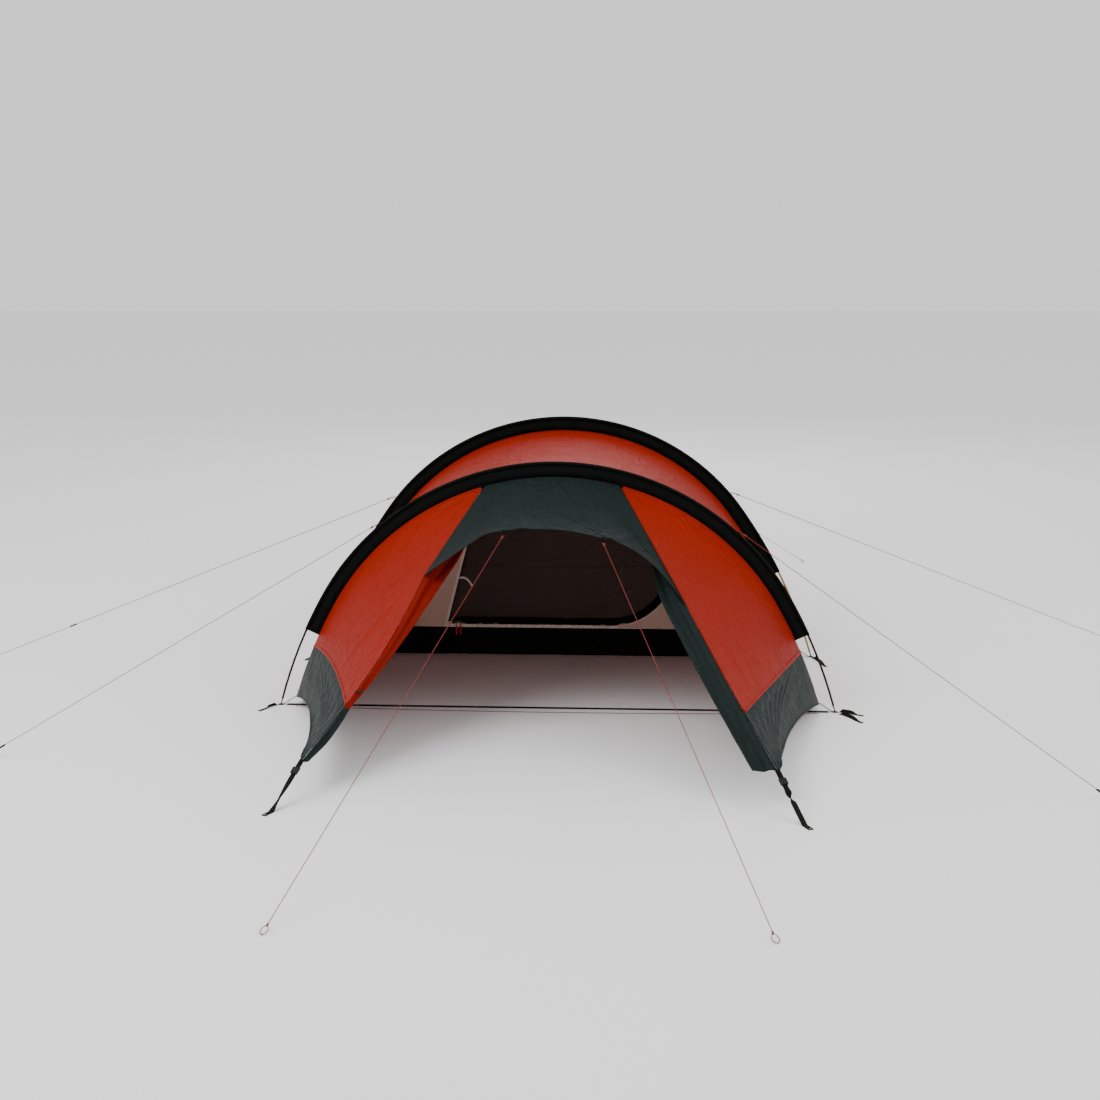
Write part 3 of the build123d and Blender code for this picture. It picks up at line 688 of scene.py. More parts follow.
# Porch: side panels, corner patches, hood, and the edges folded in along the opening
porchPlan = {
    "top": {-1: 0.272, 1: 0.250},
    "peg": {-1: (-0.868, -1.194), 1: (0.861, -1.227)},
    "end": 0.862,
    "patch": 0.71,
    "patchHeight": 0.232,
    "hem": 0.030,
    "patchRow": 0.76,
    "bulge": {-1: -0.020, 1: 0.0},
    "bow": {-1: (0.31, 0.034), 1: (0.39, -0.006)},
    "hollow": {-1: 0.075, 1: 0.045},
}
flyFront = tentPlan["frontY"] - 0.0016


def seamPoint(side, share):
    x = porchPlan["top"][side]
    top = hoops["front"].at(side * hoops["front"].angleAtWidth(x, flyInset), flyInset, flyFront)
    px, py = porchPlan["peg"][side]
    start, deep = porchPlan["bow"][side]
    along = min(1, max(0, (share - start) / (porchPlan["end"] - start)))
    inward = Vector((0.91, 0.38, -0.15)) * deep * sin(pi * along)
    return top.lerp(Vector((px, tentPlan["frontY"] + py, 0)), share) + inward


# both ends of the straight line across a side panel, for a row from the top 0 to the hem 1
def porchRule(side, row):
    arch, plan = hoops["front"], porchPlan
    top = arch.angleAtWidth(plan["top"][side], flyInset)
    patch = arch.angleAtHeight(plan["patchHeight"], flyInset)
    hem = arch.angleAtHeight(plan["hem"], flyInset)
    if row <= plan["patchRow"]:
        k = row / plan["patchRow"]
        angle, share = top + (patch - top) * k, plan["patch"] * k
    else:
        k = (row - plan["patchRow"]) / (1 - plan["patchRow"])
        angle, share = patch + (hem - patch) * k, plan["patch"] + (plan["end"] - plan["patch"]) * k
    return arch.at(side * angle, flyInset, flyFront), seamPoint(side, share)


def panelPlace(side, row, v):
    a, b = porchRule(side, row)
    return a.lerp(b, v)


panelFolds = {
    -1: [
        (0.30, 0.15, 0.55, 0.55, 0.030, 0.0045), (0.42, 0.70, 0.70, 0.45, 0.025, 0.004),
        (0.20, 0.35, 0.34, 0.80, 0.02, 0.003),
        (0.55, 0.20, 0.80, 0.50, 0.020, 0.004), (0.60, 0.75, 0.92, 0.60, 0.022, 0.0045),
        (0.48, 0.30, 0.52, 0.72, 0.018, 0.0035),
        (0.75, 0.10, 0.95, 0.40, 0.020, 0.004), (0.33, 0.55, 0.46, 0.92, 0.018, 0.003),
        (0.66, 0.35, 0.74, 0.80, 0.016, 0.003),
    ],
    1: [
        (0.20, 0.05, 0.40, 0.35, 0.012, 0.003), (0.24, 0.04, 0.44, 0.30, 0.010, 0.0025),
        (0.60, 0.30, 0.99, 0.42, 0.014, 0.003),
        (0.62, 0.45, 0.99, 0.55, 0.014, 0.003), (0.64, 0.60, 0.99, 0.68, 0.014, 0.003),
        (0.66, 0.75, 0.99, 0.80, 0.014, 0.003),
    ],
}


def makePanel(side, name, node):
    plan = porchPlan

    def edge(v):
        return plan["patchRow"] + plan["bulge"][side] * sin(pi * v) ** 0.8

    def place(s, t):
        return panelPlace(side, 0.012 + (edge(t) - 0.014) * s, t)

    def lift(s, t):
        belly = -0.016 * sin(pi * t) * min(1, 2.2 * s) * (1 - 0.5 * s)
        pucker = 0.0014 * exp(-t / 0.05) * sin(2 * pi * 30 * s + 2 * ripple(s, t, 8, side))
        crumple = (0.0030 if side < 0 else 0.0016) * (
            ripple(s, t, 6, 3 + side) + 0.5 * ripple(s, t, 15, 7 + side)
        )
        edges = min(1, 14 * t * (1 - t)) * min(1, 10 * s) * min(1, 0.15 + 9 * (1 - s))
        return (belly + foldHeight(s, t, panelFolds[side]) * 0.8 + crumple) * edges + pucker * min(1, 12 * t)

    piece = clothPiece(
        name, "flyOrange", 110, 80, place, lambda co: Vector((side * 0.5, -1, 0.5)), lift,
        hems=((1, 0.974, 1.001), (0, 0.985, 1.001)),
    )
    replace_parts(piece, node)


def makePatch(side, name, node):
    plan = porchPlan

    def place(s, t):
        high = plan["patchRow"] + plan["bulge"][side] * sin(pi * t) ** 0.8 - 0.016
        low = 1 - plan["hollow"][side] * sin(pi * t) ** 0.9
        return panelPlace(side, high + (low - high) * s, t)

    def lift(s, t):
        spokes = 0
        for k in range(7):  # tension folds that run up from the peg corner
            way = 0.10 + 0.13 * k
            off = (1 - t) - way * (1.05 - s)
            spokes += (0.0060 if side > 0 else 0.0035) * exp(-((off / 0.028) ** 2)) * (0.4 + 0.6 * s)
        crumple = 0.004 * ripple(s, t, 4, 11 + side) + 0.0010 * ripple(s, t, 11, 5 + side)
        under = -0.0042 * max(0, 1 - 5 * s)
        return (
            (spokes + crumple - 0.010 * sin(pi * t)) * min(1, 10 * t * (1 - t)) * min(1, 4 * s) ** 2 + under
        )

    piece = clothPiece(
        name, "flyGrey", 50, 80, place, lambda co: Vector((side * 0.5, -1, 0.5)), lift,
        hems=((0, 0.95, 1.001), (1, 0.97, 1.001)),
    )
    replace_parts(piece, node)


for side, word in ((-1, "left"), (1, "right")):
    makePanel(side, f"{word}_porch_panel_cloth", f"{word}_porch_panel")
    makePatch(side, f"{word}_corner_patch_cloth", f"{word}_corner_patch")

hoodPlan = {
    "edge": [
        (-0.459, -0.381, 0.610), (-0.380, -0.405, 0.672), (-0.300, -0.385, 0.725), (-0.235, -0.352, 0.760),
        (-0.160, -0.337, 0.773), (-0.070, -0.330, 0.778), (0.040, -0.337, 0.776), (0.115, -0.355, 0.768),
        (0.187, -0.371, 0.756), (0.250, -0.390, 0.742), (0.310, -0.410, 0.715), (0.365, -0.430, 0.678),
        (0.424, -0.456, 0.620), (0.496, -0.489, 0.532),
    ],
    "sag": 0.018,
    "folds": [
        (0.36, 1.0, 0.30, 0.15, 0.016, 0.006), (0.36, 1.0, 0.42, 0.10, 0.014, 0.005),
        (0.36, 1.0, 0.20, 0.55, 0.018, 0.005),
        (0.66, 1.0, 0.52, 0.10, 0.014, 0.007), (0.66, 1.0, 0.36, 0.30, 0.013, 0.006),
        (0.66, 1.0, 0.70, 0.15, 0.015, 0.005),
        (0.66, 1.0, 0.90, 0.55, 0.016, 0.006), (0.86, 0.30, 0.97, 0.42, 0.012, 0.006),
        (0.84, 0.42, 0.98, 0.55, 0.012, 0.007),
        (0.86, 0.55, 0.98, 0.68, 0.012, 0.006), (0.05, 0.95, 0.16, 0.40, 0.018, 0.005),
        (0.93, 0.95, 0.86, 0.60, 0.02, 0.007),
    ],
}


# a smooth line through chosen points, with s from 0 to 1
def smoothRow(points, s):
    k = s * (len(points) - 1)
    i = min(int(k), len(points) - 2)
    p = [Vector(points[max(0, min(len(points) - 1, i + j))]) for j in (-1, 0, 1, 2)]
    f = k - i
    return (
        p[1] + (p[2] - p[0]) * 0.5 * f + (p[0] * 2 - p[1] * 5 + p[2] * 4 - p[3]) * 0.5 * f * f
        + (p[1] * 3 - p[0] - p[2] * 3 + p[3]) * 0.5 * f**3
    )


def makeHood(plan):
    arch = hoops["front"]
    left = -arch.angleAtWidth(porchPlan["top"][-1], flyInset)
    right = arch.angleAtWidth(porchPlan["top"][1], flyInset)

    def place(s, t):
        high = arch.at(left + (right - left) * (0.006 + 0.988 * s), flyInset, flyFront - 0.0006)
        low = smoothRow(plan["edge"], s) + Vector((0, tentPlan["frontY"], 0))
        return high.lerp(low, t)

    def lift(s, t):
        inside = min(1, 16 * s * (1 - s))
        sag = -plan["sag"] * 4 * t * (1 - t) * inside
        gather = 0.0022 * exp(-t / 0.10) * sin(2 * pi * 22 * s + 3 * ripple(s, t, 7, 1.5)) * min(1, 20 * t)
        crumple = 0.0035 * ripple(s, t, 5, 21.0) + 0.0018 * ripple(s, t, 14, 23.0)
        return sag + (gather + crumple * min(1, 6 * t) + foldHeight(s, t, plan["folds"])) * inside

    piece = clothPiece(
        "hood_cloth", "flyGrey", 150, 90, place, lambda co: Vector((0, -0.6, 1)), lift,
        hems=((1, 0.972, 1.001),),
    )
    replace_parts(piece, "hood")


makeHood(hoodPlan)

stripPlans = {
    # the left strip takes the darker orange finish, which paints the shade where the fold turns back into the
    # tent
    "left": {"side": -1, "start": 0.20, "end": 0.715, "across": (0.062, 0.026, -0.010), "seed": 4.4,
             "widths": [1.15, 1.25, 1.05, 0.80, 0.60, 0.45, 0.30],
             "material": "flyShadedOrange", "slot": "fly_orange"},
    "leftLow": {"side": -1, "start": 0.715, "end": 0.862, "across": (0.062, 0.026, -0.010), "seed": 5.1,
                "widths": [0.32, 0.46, 0.52, 0.36], "material": "flyGrey", "slot": "fly_grey"},
    "right": {"side": 1, "start": 0.27, "end": 0.858, "across": (-0.078, 0.022, -0.012), "seed": 6.6,
              "widths": [0.55, 0.95, 1.0, 1.0, 1.0, 1.0, 1.0], "material": "flyGrey", "slot": "fly_grey"},
}


def makeStrip(name, plan):
    side, seed = plan["side"], plan["seed"]
    way = Vector(plan["across"])
    widths = [(w, 0, 0) for w in plan["widths"]]

    def place(s, t):
        share = plan["start"] + (plan["end"] - plan["start"]) * s
        root = seamPoint(side, share) + Vector((-side * 0.0012, 0.003, 0))
        return root + way * t * smoothRow(widths, s).x

    def lift(s, t):
        fold = 0.0055 * sin(2 * pi * (1.3 * t + 0.15 * ripple(s, t, 3, seed))) * min(1, 5 * t)
        fold = fold + 0.003 * ripple(s * 3, t, 4, seed) * t + 0.0015 * ripple(s, t, 17, seed) * t
        return fold * smoothRow(widths, s).x ** 1.3

    return clothPiece(
        name, plan["material"], 110, 22, place, lambda co: Vector((0, -1, 0.2)), lift,
        0.0008, hems=((1, 0.85, 1.001),),
    )


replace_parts(makeStrip("left_edge_strip_cloth", stripPlans["left"]), "left_edge_strip")
makeStrip("left_patch_return", stripPlans["leftLow"])
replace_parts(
    makeStrip("rolled_door_strip_cloth", stripPlans["right"]), "rolled_door_strip"
)
print("porch made")

# Pole sleeves: a round tunnel over the pole with a flat fin down to the flysheet
sleevePlan = {
    "poleR": 0.00425,
    "tunnelR": 0.0062,
    "finHalf": 0.0011,
    "end": {"front": 0.310, "mid": 0.385, "rear": 0.260},
}


def sleeveSection():
    plan = sleevePlan
    r, half = plan["tunnelR"], plan["finHalf"]
    turn = asin(half / r)
    ring = [turn + (2 * pi - 2 * turn) * i / 16 for i in range(17)]
    around = [(plan["poleR"] + r * cos(a), r * sin(a)) for a in ring]
    first = [(sleeveDepth + 0.005, half), (sleeveDepth * 0.66, half), (sleeveDepth * 0.35, half)]
    return first + around + [(x, -y) for x, y in reversed(first)]


def makeSleeve(name):
    arch = hoops[name]
    end = arch.angleAtHeight(sleevePlan["end"][name], sleevePlan["poleR"])
    section = sleeveSection()
    last = len(section) - 1

    def place(s, t):
        k = t * last
        i = min(int(k + 1e-6), last - 1)
        f = k - i
        inset = section[i][0] + (section[i + 1][0] - section[i][0]) * f
        off = section[i][1] + (section[i + 1][1] - section[i][1]) * f
        flat = max(0.0, min(1.0, (inset - 0.012) / 0.03))
        sway = 0.0016 * ripple(s * 40, 0.0, 1.0, 3.0) * flat + 0.0007 * sin(2 * pi * 95 * s) * flat
        return arch.at((2 * s - 1) * end, inset, arch.y + off + sway)

    piece = clothPiece(
        f"{name}_sleeve_cloth", "sleeveBlack", 300, last, place,
        lambda co: Vector((0, 0, 1)), None, 0.0008,
    )
    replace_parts(piece, f"{name}_sleeve")


for name in ("front", "mid", "rear"):
    makeSleeve(name)
print("sleeves made")

# ribbons and webbing follow a path, with across(s) as the direction of their width
def pathPoint(points, s):
    lengths = [0.0]
    for a, b in zip(points, points[1:]):
        lengths.append(lengths[-1] + (b - a).length)
    goal = s * lengths[-1]
    i = 0
    while i < len(points) - 2 and lengths[i + 1] < goal:
        i += 1
    span = lengths[i + 1] - lengths[i]
    return points[i].lerp(points[i + 1], (goal - lengths[i]) / span if span else 0)


def ribbon(
    name, points, width, across, outward, material, along,
    body="tent", solid=0.0008, lift=None, rows=4,
):
    def place(s, t):
        wide = width(s) if callable(width) else width
        return pathPoint(points, s) + across(s) * (t - 0.5) * wide

    bm, _, _ = clothGrid(along, rows, place, outward, lift)
    return finishPiece(name, bm, material, body, solid)


# inner tent: black tub, light walls, netting door with a zip round three sides
innerPlan = {
    "gap": 0.150,
    "tub": 0.125,
    "thick": 0.0015,
    "sag": 0.014,
    "faceY": -1.0510,
    "doorBottom": 0.150,
    "doorTop": 0.775,
    "seamFoot": -0.523,
    "seamTop": -0.357,
    "right": 0.478,
    "topR": 0.250,
    "bottomR": 0.270,
    "doorGap": 0.003,
}
bodyRows = [
    (tentPlan["wallY"], hoops["mid"], innerPlan["gap"]),
    (tentPlan["rearY"], hoops["rear"], innerPlan["gap"]),
    (tentPlan["backY"], hoops["innerFoot"], 0.0),
]


def betweenRows(y):
    i = 0 if y <= bodyRows[1][0] else 1
    k = (y - bodyRows[i][0]) / (bodyRows[i + 1][0] - bodyRows[i][0])
    return i, k


def innerPoint(across, y, low, inset=0.00075):
    i, k = betweenRows(y)
    ends = []
    for rowY, arch, gap in bodyRows[i:i + 2]:
        ends.append(arch.at(across * arch.angleAtHeight(low, gap), gap + inset, rowY))
    return ends[0].lerp(ends[1], k)


def makeInnerBody(plan):
    low = plan["tub"] + 0.001
    front, back = tentPlan["wallY"], tentPlan["backY"]

    def place(s, t):
        return innerPoint(2 * s - 1, front + (back - front) * t, low)

    def lift(s, t):
        i, k = betweenRows(front + (back - front) * t)
        sag = -plan["sag"] * 4 * k * (1 - k) * (1 - 0.5 * abs(2 * s - 1))
        soft = 0.004 * ripple(s, t, 6, 31.0) + 0.002 * ripple(s, t, 15, 33.0)
        return sag + soft * min(1, 12 * t * (1 - t)) * min(1, 12 * s * (1 - s))

    piece = clothPiece(
        "inner_body_cloth", "innerTaupe", 120, 84, place, upAndOut(Vector((0, 0, 0.2))), lift,
    )
    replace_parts(piece, "inner_body")
    foot = hoops["innerFoot"]
    end = foot.angleAtHeight(low)

    def endPlace(s, t):
        top = foot.at((2 * s - 1) * end, 0.0008, back + 0.0018)
        return Vector((top.x, top.y, low + (top.z - low) * t))

    piece = clothPiece(
        "inner_foot_wall_cloth", "innerTaupe", 70, 16, endPlace, lambda co: Vector((0, 1, 0)),
        lambda s, t: -0.005 * sin(pi * s) * 4 * t * (1 - t),
    )
    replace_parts(piece, "inner_foot_wall")


def tubOutline(plan):
    right = []
    for rowY, arch, gap in bodyRows:
        right.append(Vector((arch.at(arch.angleAtHeight(plan["tub"], gap), gap).x - 0.0008, rowY, 0)))
    return right + [Vector((-p.x, p.y, 0)) for p in reversed(right)]


def makeTub(plan):
    ring = tubOutline(plan)
    ring.append(ring[0])

    def wallPlace(s, t):
        corner = pathPoint(ring, s % 1.0)
        return corner + Vector((0, 0, 0.0014 + (plan["tub"] - 0.0016) * t))

    def wallLift(s, t):
        wave = 0.0022 * ripple(s * 24, t, 1.0, 41.0) + 0.0015 * ripple(s * 60, t * 2, 1.0, 43.0)
        return (wave - 0.003) * sin(pi * min(1, 0.15 + t))

    bm, flat, area = clothGrid(420, 10, wallPlace, lambda co: Vector((0, co.y, 0)), wallLift)
    bmesh.ops.remove_doubles(bm, verts=bm.verts, dist=0.0003)
    wall = finishPiece("groundsheet_wall", bm, "tubBlack", solid=0.0006)
    min(area, 0.99 * flat[0] * flat[1])

    def floorPlace(s, t):
        y = tentPlan["wallY"] + (tentPlan["backY"] - tentPlan["wallY"]) * t
        i, k = betweenRows(y)
        half = ring[i].x + (ring[i + 1].x - ring[i].x) * k
        return Vector(((2 * s - 1) * half, y, 0.0012))

    def floorLift(s, t):
        return 0.0009 * (0.5 + ripple(s, t, 9, 45.0))

    piece = clothPiece(
        "groundsheet_floor", "tubBlack",
        60, 60, floorPlace, lambda co: Vector((0, 0, 1)),
        floorLift, 0.0005,
    )
    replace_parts(piece, "groundsheet")
    top = [p + Vector((0, 0, plan["tub"] - 0.002)) for p in ring]
    centre = Vector((0, 0, 0))
    ribbon(
        "tub_binding", top, 0.010, lambda s: Vector((0, 0, 1)), lambda co: co - centre,
        "zipBlack", 420, solid=0.0024,
    )


def doorSide(z, plan, inset=0.0):  # left and right edges of the door at a height
    lean = (plan["seamTop"] - plan["seamFoot"]) / (plan["doorTop"] - plan["doorBottom"])
    left = plan["seamFoot"] + (z - plan["doorBottom"]) * lean + inset
    low, high = plan["doorBottom"] + plan["bottomR"], plan["doorTop"] - plan["topR"]
    right = plan["right"]
    if z < low:
        right += sqrt(max(0, plan["bottomR"] ** 2 - (low - z) ** 2)) - plan["bottomR"]
    if z > high:
        right += sqrt(max(0, plan["topR"] ** 2 - (z - high) ** 2)) - plan["topR"]
    return left, right - inset


def doorOutline(plan, offset=0.0, corner=14):  # from the seam's foot round the zip to the seam's top
    x, low, high = plan["right"] + offset, plan["doorBottom"] - offset, plan["doorTop"] + offset
    r1, r2 = plan["bottomR"] + offset, plan["topR"] + offset
    points = [Vector((plan["seamFoot"], 0, low))]
    for i in range(corner + 1):
        turn = pi / 2 * i / corner
        points.append(Vector((x - r1 + r1 * sin(turn), 0, low + r1 - r1 * cos(turn))))
    for i in range(corner + 1):
        turn = pi / 2 * i / corner
        points.append(Vector((x - r2 + r2 * cos(turn), 0, high - r2 + r2 * sin(turn))))
    return points + [Vector((plan["seamTop"], 0, high))]


def polarHit(outline, centre, turn):
    ray = Vector((cos(turn), sin(turn)))
    best = 0.0
    for a, b in zip(outline, outline[1:] + outline[:1]):
        p, q = Vector((a.x, a.z)) - centre, Vector((b.x, b.z)) - centre
        side = q - p
        cross = ray.x * side.y - ray.y * side.x
        if abs(cross) < 1e-12:
            continue
        far = (p.x * side.y - p.y * side.x) / cross
        share = (p.x * ray.y - p.y * ray.x) / cross
        if -1e-9 <= share <= 1 + 1e-9 and far > best:
            best = far
    return centre + ray * best


def makeFrontWall(plan):
    arch, low = hoops["mid"], plan["tub"] + 0.001
    end = arch.angleAtHeight(low, plan["gap"])
    outer = [arch.at(end * (1 - 2 * i / 90), plan["gap"] + 0.0008) for i in range(91)]
    inner = doorOutline(plan)
    centre = Vector((0.0, 0.43))
    corners = [outer[0], outer[-1], inner[0], inner[-1]]
    turns = [2 * pi * i / 220 for i in range(220)]
    for corner in corners:
        exact = atan2(corner.z - centre.y, corner.x - centre.x) % (2 * pi)
        nearest = min(range(220), key=lambda i: abs(turns[i] - exact))
        turns[nearest] = exact
    turns.append(turns[0])
    inside = [polarHit(inner, centre, turn) for turn in turns]
    outside = [polarHit(outer, centre, turn) for turn in turns]

    def place(s, t):
        i = round(s * 220)
        spot = inside[i].lerp(outside[i], t)
        return Vector((spot.x, plan["faceY"] - plan["thick"] / 2, spot.y))

    def lift(s, t):
        spot = place(s, t)
        soft = 0.004 * noise.noise(spot * 7) + 0.002 * noise.noise(spot * 16)
        pull = 0.002 * sin(spot.x * 70 + 6 * noise.noise(spot * 3)) * exp(-((spot.z - 0.13) / 0.05) ** 2)
        return (soft + pull) * min(1, 6 * t * (1 - t))

    bm, flat, area = clothGrid(220, 16, place, lambda co: Vector((0, -1, 0)), lift)
    bmesh.ops.remove_doubles(bm, verts=bm.verts, dist=0.0002)
    uv = bm.loops.layers.uv.active
    for face in bm.faces:
        for loop in face.loops:
            loop[uv].uv = (loop.vert.co.x, loop.vert.co.z)
    width, height = outer[0].x - outer[-1].x, outer[45].z - low
    piece = finishPiece("inner_front_wall_cloth", bm, "innerTaupe", solid=0.0006)
    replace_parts(piece, "inner_front_wall")
    max(area, 0.301 * width * height)


doorPlan = {"zipWidth": 0.034, "zipIn": 0.006, "frontY": -1.0534, "seamZ": 0.405, "teethPitch": 0.0030}


def makeDoor(plan, door):
    def place(s, t):
        rise = (1 - cos(pi * t)) / 2
        z = (
            plan["doorBottom"] + plan["doorGap"]
            + (plan["doorTop"] - plan["doorBottom"] - 2 * plan["doorGap"]) * rise
        )
        left, right = doorSide(z, plan, plan["doorGap"])
        return Vector((left + (right - left) * s, plan["faceY"] - plan["thick"] / 2, z))

    def lift(s, t):
        folds = [(0.55, 0.12, 0.95, 0.42, 0.02, 0.003), (0.62, 0.10, 0.97, 0.34, 0.014, 0.003)]
        soft = 0.004 * ripple(s, t, 4, 51.0) + 0.0012 * ripple(s, t, 12, 53.0)
        return (soft + foldHeight(s, t, folds)) * min(1, 10 * s * (1 - s)) * min(1, 10 * t * (1 - t))

    piece = clothPiece(
        "inner_door_net", "net", 90, 70, place, lambda co: Vector((0, -1, 0)), lift,
        0.0004, "inner_door",
    )
    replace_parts(piece, "inner_door")
    left, right = doorSide(door["seamZ"], plan, 0.006)
    y = plan["faceY"] - plan["thick"] - 0.0006
    seamLine = [Vector((left, y, door["seamZ"])), Vector((right, y, door["seamZ"] - 0.004))]
    ribbon(
        "inner_door_seam", seamLine, 0.008, lambda s: Vector((0, 0, 1)), lambda co: Vector((0, -1, 0)),
        "net", 90, "inner_door", 0.0006,
    )
    outline = doorOutline(plan, -door["zipIn"])
    outline[0] = outline[0] + Vector((0.020, 0, 0))
    line = [p + Vector((0, door["frontY"], 0)) for p in outline]

    def across(s):
        ahead = pathPoint(line, min(1, s + 0.004)) - pathPoint(line, max(0, s - 0.004))
        return Vector((-ahead.z, 0, ahead.x)).normalized()

    def crown(s, t):
        return 0.0010 * sin(pi * t) + 0.0006 * ripple(s * 30, t, 1.0, 57.0)

    flap = ribbon(
        "inner_door_zip_flap", line, door["zipWidth"], across, lambda co: Vector((0, -1, 0)),
        "zipBlack", 240, "inner_door", 0.0009, crown, 6,
    )
    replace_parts(flap, "inner_door_zip")
    teeth = bmesh.new()
    total = lineLength(line)
    for i in range(int(total / door["teethPitch"])):
        s = (i + 0.5) * door["teethPitch"] / total
        side = across(s)
        ahead = Vector((side.z, 0, -side.x))
        spot = pathPoint(line, s) - side * (door["zipWidth"] * 0.36) + Vector((0, -0.0012, 0))
        for lean in (-1, 1):
            tooth = bmesh.ops.create_cube(teeth, size=1.0)["verts"]
            bmesh.ops.scale(teeth, vec=(0.0014, 0.0016, 0.0030), verts=tooth)
            turn = Matrix((ahead, Vector((0, 1, 0)), side)).transposed().to_4x4()
            move = Matrix.Translation(spot + side * 0.0016 * lean + ahead * 0.0007 * lean)
            bmesh.ops.transform(teeth, matrix=move @ turn, verts=tooth)
    finishPiece("inner_door_zip_teeth", teeth, "blackPlastic", "inner_door", smooth=False)
    piping = [p + Vector((0, door["frontY"], 0)) for p in doorOutline(plan, 0.0150)][:22]
    ribbon(
        "door_piping", piping, 0.0035, lambda s: across(min(1, s * 0.62)), lambda co: Vector((0, -1, 0)),
        "tapeCream", 150, solid=0.0016,
    )


rufflePlan = {"left": -0.520, "right": 0.330, "low": 0.1262, "high": 0.1400, "depth": 0.0024, "waves": 26}


def makeRuffle(plan):  # gathered pale cloth between the zip and the tub
    def place(s, t):
        x = plan["left"] + (plan["right"] - plan["left"]) * s
        high = plan["high"] - (plan["high"] - plan["low"]) * 0.75 * max(0, s - 0.75) / 0.25
        return Vector((x, doorPlan["frontY"] - 0.0022, plan["low"] + (high - plan["low"]) * t))

    def lift(s, t):
        phase = 2 * pi * plan["waves"] * s + 2.5 * ripple(s * 9, t, 1.0, 61.0)
        return plan["depth"] * (sin(phase + 1.6 * t) + 0.4 * sin(2.3 * phase)) * (0.45 + 0.55 * sin(pi * t))

    bm, _, _ = clothGrid(520, 6, place, lambda co: Vector((0, -1, 0)), lift)
    finishPiece("door_sill_ruffle", bm, "tapeCream", solid=0.0005)


def makeSeamTape(plan):
    y = doorPlan["frontY"] - 0.0004
    foot = Vector((plan["seamFoot"] - 0.010, y, plan["doorBottom"] - 0.022))
    top = Vector((plan["seamTop"] - 0.006, y, plan["doorTop"] + 0.010))
    lean = (top - foot).normalized()
    side = Vector((lean.z, 0, -lean.x))
    tape = ribbon(
        "door_seam_tape_ribbon", [foot, top], 0.012, lambda s: side, lambda co: Vector((0, -1, 0)),
        "tapeCream", 120, solid=0.0010, lift=lambda s, t: 0.0006 * ripple(s * 40, t, 1.0, 63.0),
    )
    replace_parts(tape, "door_seam_tape")
    z = 0.349
    root = Vector((doorSide(z, plan)[0] + 0.004, doorPlan["frontY"] - 0.0006, z))
    turns = [
        (0, 0, 0), (0.016, -0.004, 0.004), (0.034, -0.007, -0.004),
        (0.048, -0.007, -0.020), (0.057, -0.004, -0.036),
    ]
    loop = [root + Vector(p) for p in turns]
    path = [smoothRow(loop, i / 24) for i in range(25)]

    def tieAcross(s):
        ahead = pathPoint(path, min(1, s + 0.02)) - pathPoint(path, max(0, s - 0.02))
        flat = Vector((-ahead.z, 0, ahead.x)).normalized()
        return (flat + Vector((0, 0.35 * s, 0))).normalized()

    tie = ribbon(
        "tie_back_loop", path, lambda s: 0.0095 - 0.002 * s, tieAcross, lambda co: Vector((0, -1, 0)),
        "tapeCream", 40, "inner_door", 0.0010,
    )
    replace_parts(tie, "tie_back")


makeInnerBody(innerPlan)
makeTub(innerPlan)
makeFrontWall(innerPlan)
makeDoor(innerPlan, doorPlan)
makeRuffle(rufflePlan)
makeSeamTape(innerPlan)
print("inner tent made")

# zip pulls: a folded tape sewn shut, hung on a wire link through the slider
pullPlan = {"width": 0.0052, "length": 0.050, "linkR": 0.0032, "wire": 0.0007}


def makePull(name, plan):
    low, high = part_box(name)
    x, y = (low[0] + high[0]) / 2, (low[1] + high[1]) / 2
    top = high[2]
    path = [
        Vector((x, y - 0.0004, top - 0.004)),
        Vector((x + 0.0006, y - 0.0006, top - plan["length"] * 0.5)),
    ]
    path.append(Vector((x + 0.0012, y, top - plan["length"])))
    body = ribbon(
        name + "_tape", path, lambda s: plan["width"] * (1 + 0.12 * sin(pi * s)), lambda s: Vector((1, 0, 0)),
        lambda co: Vector((0, -1, 0)), "redTape", 40, name, 0.0014,
        lambda s, t: 0.0005 * ripple(s * 6, t, 1.0, x * 50),
    )
    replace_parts(body, name)
    link = bmesh.new()
    bmesh.ops.create_circle(link, segments=10, radius=plan["wire"])
    bmesh.ops.rotate(link, matrix=Matrix.Rotation(pi / 2, 3, "X"), verts=link.verts)
    bmesh.ops.translate(link, vec=(plan["linkR"], 0, 0), verts=link.verts)
    bmesh.ops.spin(
        link, geom=link.edges[:], cent=(0, 0, 0), axis=(0, 0, 1), angle=2 * pi, steps=28, use_merge=True
    )
    bmesh.ops.scale(link, vec=(0.8, 1, 1), verts=link.verts)
    bmesh.ops.rotate(link, matrix=Matrix.Rotation(pi / 2, 3, "Y"), verts=link.verts)
    bmesh.ops.rotate(link, matrix=Matrix.Rotation(pi / 2, 3, "X"), verts=link.verts)
    bmesh.ops.translate(link, vec=(x, y, top - 0.0010), verts=link.verts)
    bmesh.ops.recalc_face_normals(link, faces=link.faces)
    finishPiece(name + "_link", link, "darkMetal", name)


for name in ("first_pull", "second_pull"):
    makePull(name, pullPlan)

# corner straps twist on their way down to a peg eyelet that lies flat
strapPlan = {
    "left": {"side": -1, "width": 0.020, "twists": 0.36, "from": 0.30, "to": 1.0},
    "right": {"side": 1, "width": 0.020, "twists": 1, "from": 0.30, "to": 0.56},
    "flat": 0.030,
    "web": 0.0014,
    "eyeR": 0.004,
    "tip": 0.005,
}


